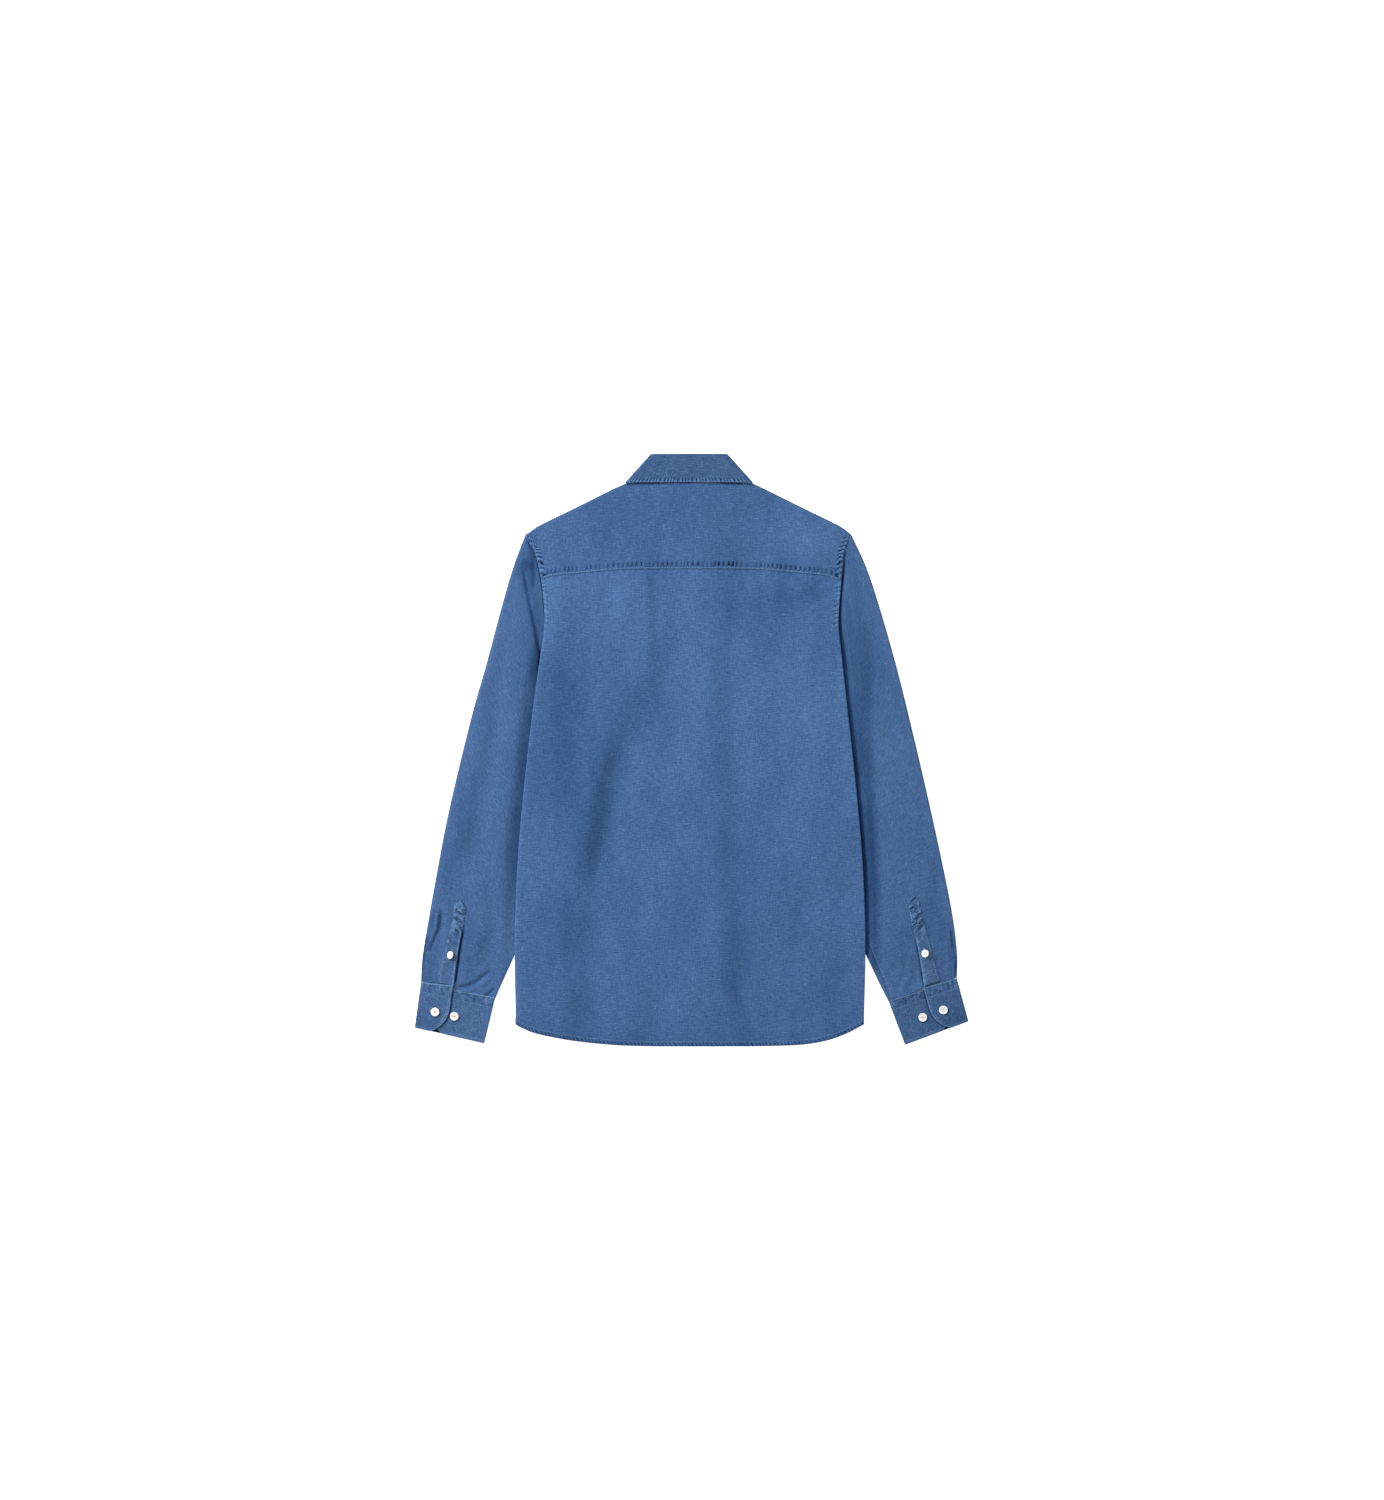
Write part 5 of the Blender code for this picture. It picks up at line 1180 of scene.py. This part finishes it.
def maths(tree, operation, *values, clamp=False):
    return node(tree, "ShaderNodeMath", dict(enumerate(values)), operation=operation, use_clamp=clamp).outputs[0]


def mix(tree, factor, a, b, kind="MIX"):
    made = node(tree, "ShaderNodeMix", {0: factor, 6: a, 7: b}, data_type="RGBA", blend_type=kind)
    return made.outputs[2]


def grain(tree, where, along, across, detail=2):
    """Noise on the weave, with so many grains to a metre each way."""
    scaled = node(tree, "ShaderNodeVectorMath", {0: where, 1: (along, across, 1.0)}, operation="MULTIPLY")
    inputs = {"Vector": scaled.outputs[0], "Scale": 1.0, "Detail": detail, "Roughness": 0.6}
    return node(tree, "ShaderNodeTexNoise", inputs).outputs["Fac"]


def new_finish(name):
    made = bpy.data.materials.new(name)
    made.use_nodes = True
    return made, made.node_tree, made.node_tree.nodes["Principled BSDF"]


def finish(name):
    return bpy.data.materials.get(name) or make_cotton(name)


# Each cotton: its share of the cloth colour's red, green and blue, and the contrast of its yarns.
COTTONS = {
    "body cotton": (1.02, 1.02, 1.02, 4.8),
    "yoke cotton": (0.93, 0.93, 0.93, 4.4),
    "sleeve cotton": (1.01, 0.99, 0.98, 4.8),
    "cuff cotton": (1.12, 1.03, 0.95, 6.8),
    "collar cotton": (0.80, 0.79, 0.78, 5.8),
}
# The deepest tone, how red and blue follow the tone where wear and painted shade make the cloth deeper or paler,
# and metres from yarn to yarn.
DEEPEST, SHADE_AND_WASH_POWERS, YARN_PITCH = 0.09, ((1.48, 1.15), (0.77, 0.76)), 0.00052


def make_cotton(name):
    """Washed blue cotton: pale and dark yarns, slubs both ways, soft fading, the tone's wear and painted shade, and a
    woven bump.
    """
    settings = bpy.context.scene.shirt_cloth
    made, tree, shader = new_finish(name)
    contrast = COTTONS[name][3]
    where = node(tree, "ShaderNodeUVMap", uv_map="weave").outputs[0]
    wear_and_shade = node(tree, "ShaderNodeAttribute", attribute_name="tone").outputs["Fac"]
    across, along, speck = [grain(tree, where, *counts) for counts in ((105, 600), (600, 100), (430, 500))]
    cloud = grain(tree, where, 22, 9, 4)
    yarns = maths(tree, "ADD", maths(tree, "MULTIPLY", across, 0.38), maths(tree, "MULTIPLY", along, 0.28))
    yarns = maths(tree, "ADD", yarns, maths(tree, "MULTIPLY", speck, 0.34))
    light = maths(tree, "MULTIPLY", maths(tree, "SUBTRACT", yarns, 0.51, clamp=True), contrast, clamp=True)
    dark = maths(tree, "MULTIPLY", maths(tree, "SUBTRACT", 0.49, yarns, clamp=True), contrast, clamp=True)
    base = (*[channel * share for channel, share in zip(settings.colour, COTTONS[name][:3])], 1)
    colour = mix(tree, light, base, (*settings.light_yarn, 1))
    colour = mix(tree, dark, colour, (*settings.dark_yarn, 1))
    fading_and_shade = maths(tree, "ADD", maths(tree, "MULTIPLY", maths(tree, "SUBTRACT", cloud, 0.5), 0.75), wear_and_shade)
    fading_and_shade = maths(tree, "MAXIMUM", fading_and_shade, DEEPEST)
    red, blue = [maths(tree, "MINIMUM", *[maths(tree, "POWER", fading_and_shade, power) for power in powers])
                 for powers in SHADE_AND_WASH_POWERS]
    tint = node(tree, "ShaderNodeCombineColor", {0: red, 1: fading_and_shade, 2: blue}).outputs[0]
    colour = mix(tree, 1.0, colour, tint, "MULTIPLY")
    tree.links.new(colour, shader.inputs["Base Color"])
    pitch = 2 * math.pi / YARN_PITCH
    split = node(tree, "ShaderNodeSeparateXYZ", {0: where})
    warp = maths(tree, "SINE", maths(tree, "MULTIPLY", split.outputs[0], pitch))
    weft = maths(tree, "SINE", maths(tree, "MULTIPLY", split.outputs[1], pitch))
    relief = maths(tree, "ADD", maths(tree, "MULTIPLY", maths(tree, "MULTIPLY", warp, weft), 0.5),
                   maths(tree, "MULTIPLY", yarns, 2.2))
    bump = node(tree, "ShaderNodeBump", {"Height": relief, "Strength": 0.35, "Distance": 0.00012})
    tree.links.new(bump.outputs[0], shader.inputs["Normal"])
    shader.inputs["Roughness"].default_value = 0.88
    shader.inputs["Specular IOR Level"].default_value = 0.12
    shader.inputs["Sheen Weight"].default_value = 0.06
    shader.inputs["Sheen Roughness"].default_value = 0.5
    return made


def make_plain(name, colour, roughness, fleck=0.1, scale=700.0, specular=0.3):
    """A plain finish with a little colour variation and a fine bump."""
    made, tree, shader = new_finish(name)
    where = node(tree, "ShaderNodeTexCoord").outputs["Object"]
    spots = node(tree, "ShaderNodeTexNoise", {"Vector": where, "Scale": scale, "Detail": 3.0})
    shade = maths(tree, "ADD", maths(tree, "MULTIPLY", spots.outputs["Fac"], 2 * fleck), 1 - fleck)
    tint = node(tree, "ShaderNodeCombineColor", {0: shade, 1: shade, 2: shade}).outputs[0]
    tree.links.new(mix(tree, 1.0, (*colour, 1), tint, "MULTIPLY"), shader.inputs["Base Color"])
    bump = node(tree, "ShaderNodeBump", {"Height": spots.outputs["Fac"], "Strength": 0.15, "Distance": 0.0001})
    tree.links.new(bump.outputs[0], shader.inputs["Normal"])
    shader.inputs["Roughness"].default_value = roughness
    shader.inputs["Specular IOR Level"].default_value = specular
    return made


# ---------------------------------------------------------------- stitching and buttons


def adopt(piece, node_name=None, slot="indigo_cotton"):
    """Puts a finished piece on the frame, in place of a frame node where one is named."""
    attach(piece, "root")
    if node_name:
        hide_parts(node_name)


def stitch_shape():
    """One stitch of thread, modelled once, as rows of corners and faces."""
    deselect()
    bpy.ops.mesh.primitive_uv_sphere_add(segments=6, ring_count=4, radius=1.0, rotation=(0, math.pi / 2, 0))
    made = bpy.context.object
    bpy.ops.object.transform_apply(rotation=True)
    corners = np.array([v.co[:] for v in made.data.vertices])
    faces = [list(f.vertices) for f in made.data.polygons]
    bpy.data.objects.remove(made)
    return corners, faces


def stitch_row(name, starts, ends, radius, colour_name, slot="indigo_cotton"):
    """A row of stitches from each start to each end, in millimetres."""
    corners, faces = stitch_row.shape
    starts, ends = place(starts), place(ends)
    way = ends - starts
    length = np.linalg.norm(way, axis=-1, keepdims=True)
    way = way / length
    side = np.cross(way, (0, 0, 1.0))
    side /= np.linalg.norm(side, axis=-1, keepdims=True)
    up = np.cross(side, way)
    middle = (starts + ends) / 2
    verts = (middle[:, None] + corners[None, :, :1] * (length / 2)[:, None] * way[:, None]
             + corners[None, :, 1:2] * radius * MM * side[:, None] + corners[None, :, 2:] * radius * MM * up[:, None])
    count = len(corners)
    all_faces = [[n * count + v for v in f] for n in range(len(starts)) for f in faces]
    mesh = bpy.data.meshes.new(name)
    mesh.from_pydata(verts.reshape(-1, 3).tolist(), [], all_faces)
    mesh.shade_smooth()
    mesh.materials.append(bpy.data.materials[colour_name])
    piece = in_scene(name, mesh)
    adopt(piece, slot=slot)


def top_of(names):
    """Reads how high the named pieces' top surface is."""
    graph = bpy.context.evaluated_depsgraph_get()
    trees = [BVHTree.FromObject(bpy.data.objects[name], graph) for name in names]

    def height(x, down):
        spot = place(np.array([x, down, 40.0]))
        hits = [tree.ray_cast(Vector(spot), Vector((0, 0, -1)))[0] for tree in trees]
        return max((hit.z / MM for hit in hits if hit), default=None)

    return height


# How much of its pitch a stitch covers.
STITCH_SHARE = 0.72


def sew(name, names, xs, downs, pitch, lift, radius):
    """Evenly spaced stitches along a line over the named pieces. Each covers a share of its pitch."""
    height = top_of(names)
    path = [(x, down, height(x, down)) for x, down in zip(xs, downs)]
    path = np.array([spot for spot in path if spot[2] is not None], float)
    run = run_along(path)
    count = max(2, int(run[-1] / pitch))
    at = np.arange(count) * run[-1] / count
    starts, ends = [np.stack([np.interp(where, run, path[:, n]) for n in range(3)], -1) + (0, 0, lift)
                    for where in (at, at + STITCH_SHARE * run[-1] / count)]
    stitch_row(name, starts, ends, radius, "seam thread")


def make_stitching():
    xs = np.linspace(-200, 205, 500)
    sew("yoke_stitches", ["yoke_cloth"], xs, seam_down(xs) - 1.6, 3.4, 0.06, 0.24)
    xs = np.linspace(-232, 234, 500)
    sew("hem_stitches", ["hem_cloth"], xs, hem_down(xs) - 6.2, 3.0, 0.04, 0.2)
    for side, sign in SIGN.items():
        downs = np.linspace(118, 232, 160)
        xs = sign * (trunk_edge(side, downs) - 3.0)
        sew(f"armhole_stitches_{side}", ["yoke_cloth", "back_cloth"], xs, downs, 3.3, 0.04, 0.26)
        make_cuff_stitching(side)
    downs = np.linspace(662, 735, 60)
    seam_x, seam_y = zip(*UNDERARM_SEAM)
    xs = np.interp(downs, seam_y, seam_x) + 1.7
    sew("underarm_stitches", ["sleeve_right_cloth"], xs, downs, 3.0, 0.02, 0.14)
    xs = np.linspace(-81, 81, 300)
    sew("collar_stitches", ["collar_leaf_cloth"], xs, np.full(300, FALL - 2.2), 3.3, 0.08, 0.28)


def make_cuff_stitching(side):
    sign, slit, width = SIGN[side], CUFFS[side]["overlap"], 99.0
    cuff, placket = [f"cuff_{side}_cloth"], [f"sleeve_placket_{side}_cloth"]
    for label, t, start, stop, radius in (
            ("top", 0.022, 2, slit - 3, 0.26), ("top_under", 0.022, slit + 4, width - 1, 0.26),
            ("second", 0.2, 2, slit - 2, 0.16), ("second_under", 0.2, slit + 2, width - 2, 0.16),
            ("edge", 0.925, slit + 2, width - 2, 0.26)):
        spots = cuff_spot(side, np.linspace(start, stop, 120), np.full(120, t), start == 2)
        sew(f"cuff_{label}_stitches_{side}", cuff, sign * spots[:, 0], spots[:, 1], 2.8, 0.05, radius)
    ts = np.linspace(0.03, 0.92, 160)
    ts = ts[ts < 0.86]  # short of the rounded corner
    spots = cuff_spot(side, slit - round_off(ts) - 4.2, ts, True)
    sew(f"cuff_end_stitches_{side}", cuff, sign * spots[:, 0], spots[:, 1], 2.8, 0.05, 0.26)
    for label, share in (("outer", 0.13), ("inner", 0.87)):
        out, down = placket_place(side, np.full(160, share), np.linspace(0.03, 0.95, 160))
        sew(f"placket_{label}_stitches_{side}", placket, sign * out, down, 2.8, 0.05, 0.24)
    out, down = placket_place(side, np.linspace(0.15, 0.85, 30), np.full(30, 0.27))
    sew(f"placket_bar_stitches_{side}", placket, sign * out, down, 2.6, 0.05, 0.24)


# A button's thickness, its rim's bevel and how deep it is dished, in metres.
BUTTON_THICK, RIM_BEVEL, DISH_DEPTH = 0.0020, 0.00035, 0.00022
# A button's holes: how far out in millimetres, and their radius in metres.
HOLE_OUT, HOLE_RADIUS = 1.75, 0.00047
# A sleeve placket's button leans on its fold, and so is raised.
TILT_AXIS, TILT_RISE = Vector((0.26, 0.966, 0)), 1.2
# How far down a cuff its buttons are, as a share of its depth.
CUFF_BUTTON_ROW = 0.56


def hole_places(turn_to=0.0):
    """Where a button's four holes are, in millimetres from its middle."""
    angles = [math.pi / 4 + n * math.pi / 2 + turn_to for n in range(4)]
    return [(HOLE_OUT * math.cos(angle), HOLE_OUT * math.sin(angle)) for angle in angles]


def button_shape(name, diameter):
    """A turned shell button: bevelled rim, dished middle and four holes, modelled once."""
    deselect()
    radius = diameter / 2
    bpy.ops.mesh.primitive_cylinder_add(vertices=64, radius=radius, depth=BUTTON_THICK)
    made = bpy.context.object
    made.name = name
    bpy.ops.object.mode_set(mode="EDIT")
    bpy.ops.mesh.select_all(action="DESELECT")
    bpy.ops.object.mode_set(mode="OBJECT")
    for face in made.data.polygons:
        face.select = face.normal.z > 0.9
    bpy.ops.object.mode_set(mode="EDIT")
    bpy.ops.mesh.select_mode(type="FACE")
    bpy.ops.mesh.inset(thickness=radius * 0.13)
    bpy.ops.mesh.inset(thickness=radius * 0.14, depth=-DISH_DEPTH)
    bpy.ops.mesh.inset(thickness=radius * 0.30, depth=0.00004)
    bpy.ops.object.mode_set(mode="OBJECT")
    bevel = made.modifiers.new("rim", "BEVEL")
    bevel.width, bevel.segments, bevel.limit_method, bevel.angle_limit = RIM_BEVEL, 3, "ANGLE", math.radians(25)
    bpy.ops.object.modifier_apply(modifier="rim")
    for x, y in hole_places():
        deselect()
        bpy.ops.mesh.primitive_cylinder_add(vertices=20, radius=HOLE_RADIUS, depth=0.006,
                                            location=(x * MM, y * MM, 0))
        drill = bpy.context.object
        cut = made.modifiers.new("hole", "BOOLEAN")
        cut.object, cut.operation, cut.solver = drill, "DIFFERENCE", "EXACT"
        deselect()
        bpy.context.view_layer.objects.active = made
        made.select_set(True)
        bpy.ops.object.modifier_apply(modifier="hole")
        bpy.data.objects.remove(drill)
    bpy.ops.object.shade_smooth_by_angle(angle=math.radians(38))
    made.data.materials.append(bpy.data.materials["button shell"])
    mesh = made.data
    bpy.data.objects.remove(made)
    return mesh


def put_button(node_name, shape, turn_to=0.0, tilt=0.0):
    """A copy of the button where the frame's own button is, with its thread."""
    low, high = [Vector(corner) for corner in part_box(node_name)]
    middle = (low + high) / 2
    up = -1 if node_name.startswith("front") else 1
    raised, leaning = TILT_RISE * bool(tilt), Matrix.Rotation(tilt, 4, TILT_AXIS)
    faced = Matrix.Rotation(math.pi, 4, "X") if up < 0 else Matrix.Identity(4)
    mesh = shape.copy()
    lean = Matrix.Translation((0, 0, raised * MM)) @ leaning @ faced
    mesh.transform(Matrix.Translation(middle) @ lean @ Matrix.Rotation(turn_to, 4, "Z"))
    adopt(in_scene(node_name + "_shell", mesh), node_name, slot="shell_button")
    ends = hole_places(turn_to)
    centre = np.array([middle.x / MM + CENTRE_X, CENTRE_DOWN - middle.y / MM, middle.z / MM])
    starts, stops = [], []
    for a, b, high_by in ((0, 2, 0.62), (1, 3, 0.9), (0, 2, 0.72), (1, 3, 1.0)):
        for shift in (-0.2, 0.2):
            first, second = np.array(ends[a]) * 1.1, np.array(ends[b]) * 1.1
            side = np.array([first[1], -first[0]]) / np.linalg.norm(first) * shift
            for rows, spot in ((starts, first + side), (stops, second + side)):
                x, y, z = leaning.to_3x3() @ Vector((*spot, up * high_by))
                rows.append(centre + (x, -y, z + raised))
    stitch_row(node_name + "_thread", np.array(starts), np.array(stops), 0.34, "button thread", "shell_button")


def buttonhole(name, names, x, down, angle, length=15.0):
    """A worked buttonhole: two rows of close stitches across a slit."""
    way = np.array([math.cos(angle), math.sin(angle)])
    side = np.array([-way[1], way[0]])
    height = top_of(names)
    middle = np.array([x, down])
    starts, stops = [], []
    for s in np.linspace(-length / 2, length / 2, 30):
        for lane in (-1, 1):
            a, b = [middle + way * s + side * lane * off for off in (0.25, 1.5)]
            z = height(*((a + b) / 2))
            if z is not None:
                starts.append((*a, z + 0.12))
                stops.append((*b, z + 0.08))
    stitch_row(name, np.array(starts), np.array(stops), 0.3, "buttonhole thread")


def make_buttons(settings):
    shape = button_shape("button_shape", settings.diameter)
    small = button_shape("small_button_shape", settings.small_diameter)
    for n in range(8):
        put_button(f"front_button_{n}", shape, 0.2 * n)
    for side, sign in SIGN.items():
        outer, inner = cuff_line(side, CUFF_BUTTON_ROW)
        lie = math.atan2((inner - outer)[1], (inner - outer)[0] * sign)
        put_button(f"cuff_button_{side}_1", shape, 0.3)
        put_button(f"cuff_button_{side}_2", shape, 0.9)
        put_button(f"placket_button_{side}", small, 0.5, -0.75 if side == "left" else -0.55)
        spot = cuff_place(side, CUFFS[side]["button"], CUFF_BUTTON_ROW)
        buttonhole(f"cuff_buttonhole_{side}", [f"cuff_{side}_cloth"], sign * spot[0], spot[1], lie)
        spot = PLACKETS[side]["button"]
        buttonhole(f"placket_buttonhole_{side}", [f"sleeve_placket_{side}_cloth"], sign * spot[0], spot[1],
                   math.pi / 2 + sign * -0.25, 13.0)


# ---------------------------------------------------------------- stage


# The floor lies at the lowest cloth's under face, in metres.
FLOOR_Z = -0.0003


def make_stage(stage):
    scene = bpy.context.scene
    scene.view_settings.view_transform = "Standard"
    scene.view_settings.look = "None"
    deselect()
    bpy.ops.mesh.primitive_plane_add(size=90, location=(0, 0, FLOOR_Z))
    floor = bpy.context.object
    floor.name = "floor"
    white, _, shader = new_finish("white paper")
    shader.inputs["Base Color"].default_value = (0.93, 0.93, 0.93, 1)
    shader.inputs["Roughness"].default_value = 0.95
    shader.inputs["Specular IOR Level"].default_value = 0.0
    shader.inputs["Emission Color"].default_value = (1, 1, 1, 1)
    shader.inputs["Emission Strength"].default_value = 0.62
    floor.data.materials.append(white)
    world = bpy.data.worlds.new("studio")
    scene.world = world
    world.use_nodes = True
    sky = world.node_tree.nodes["Background"]
    sky.inputs[0].default_value = (1, 1, 1, 1)
    sky.inputs[1].default_value = stage.sky
    for name, spot, size, power in (("key", (-2.8, 2.1, 2.5), 1.7, stage.key), ("top", (0.6, 0.4, 4.6), 3.0, 20.0)):
        lamp = bpy.data.lights.new(name, "AREA")
        lamp.energy, lamp.size = power, size
        light = in_scene(name, lamp)
        light.location = spot
        light.rotation_euler = (-Vector(spot)).to_track_quat("-Z", "Y").to_euler()
    eye = bpy.data.cameras.new("camera")
    eye.lens, eye.sensor_width = stage.lens, 36.0
    eye.clip_end = 50
    camera = in_scene("camera", eye)
    camera.location = (0.0006, 0.0001, stage.view_height / 36.0 * stage.lens)
    scene.camera = camera


# ---------------------------------------------------------------- the add-on


class SHIRT_OT_cloth(bpy.types.Operator):
    """Makes the shirt's cut pieces: back, yoke, fronts, band, sleeves, cuffs, plackets and collar"""
    bl_idname = "shirt.cloth"
    bl_label = "Cut pieces"

    def execute(self, context):
        cloth = context.scene.shirt_cloth
        for side in SIGN:
            make_front(side, cloth)
            make_sleeve(side, cloth)
            make_cuff(side, cloth)
            make_placket(side, cloth)
        make_band(cloth)
        make_back(cloth)
        make_hem(cloth)
        make_yoke(cloth)
        make_leaf(cloth)
        make_stand(cloth)
        return {"FINISHED"}


class SHIRT_OT_stitching(bpy.types.Operator):
    """Sews the visible lines of stitches"""
    bl_idname = "shirt.stitching"
    bl_label = "Stitching"

    def execute(self, context):
        make_plain("seam thread", context.scene.shirt_cloth.thread, 0.7, 0.15, 900.0)
        stitch_row.shape = stitch_shape()
        make_stitching()
        return {"FINISHED"}


class SHIRT_OT_buttons(bpy.types.Operator):
    """Makes the buttons, their thread and their buttonholes"""
    bl_idname = "shirt.buttons"
    bl_label = "Buttons"

    def execute(self, context):
        settings = context.scene.shirt_buttons
        make_plain("button shell", settings.colour, 0.22, 0.06, 260.0, 0.5)
        make_plain("button thread", settings.thread, 0.7, 0.15)
        make_plain("buttonhole thread", (0.13, 0.19, 0.31), 0.75, 0.2)
        make_buttons(settings)
        return {"FINISHED"}


class SHIRT_OT_stage(bpy.types.Operator):
    """Sets out the floor, the lights and the camera"""
    bl_idname = "shirt.stage"
    bl_label = "Stage"

    def execute(self, context):
        make_stage(context.scene.shirt_stage)
        return {"FINISHED"}


class SHIRT_PT_panel(bpy.types.Panel):
    """Lists the shirt's pieces and settings"""
    bl_idname = "SHIRT_PT_panel"
    bl_label = "Oxford shirt"
    bl_space_type = "VIEW_3D"
    bl_region_type = "UI"
    bl_category = "Shirt"

    def draw(self, context):
        for operator in OPERATORS:
            self.layout.operator(operator.bl_idname)
        for group in ("shirt_cloth", "shirt_buttons", "shirt_stage"):
            settings = getattr(context.scene, group)
            for name in settings.__annotations__:
                self.layout.prop(settings, name)


SETTINGS = {"shirt_cloth": ClothSettings, "shirt_buttons": ButtonSettings, "shirt_stage": StageSettings}
OPERATORS = (SHIRT_OT_cloth, SHIRT_OT_stitching, SHIRT_OT_buttons, SHIRT_OT_stage)


def register():
    for cls in (*SETTINGS.values(), *OPERATORS, SHIRT_PT_panel):
        bpy.utils.register_class(cls)
    for name, group in SETTINGS.items():
        setattr(bpy.types.Scene, name, PointerProperty(type=group))


def unregister():
    for name in SETTINGS:
        delattr(bpy.types.Scene, name)
    for cls in reversed((*SETTINGS.values(), *OPERATORS, SHIRT_PT_panel)):
        bpy.utils.unregister_class(cls)


def main():
    register()
    bpy.ops.shirt.cloth()
    bpy.ops.shirt.stitching()
    bpy.ops.shirt.buttons()
    bpy.ops.shirt.stage()


if __name__ == "__main__":
    main()
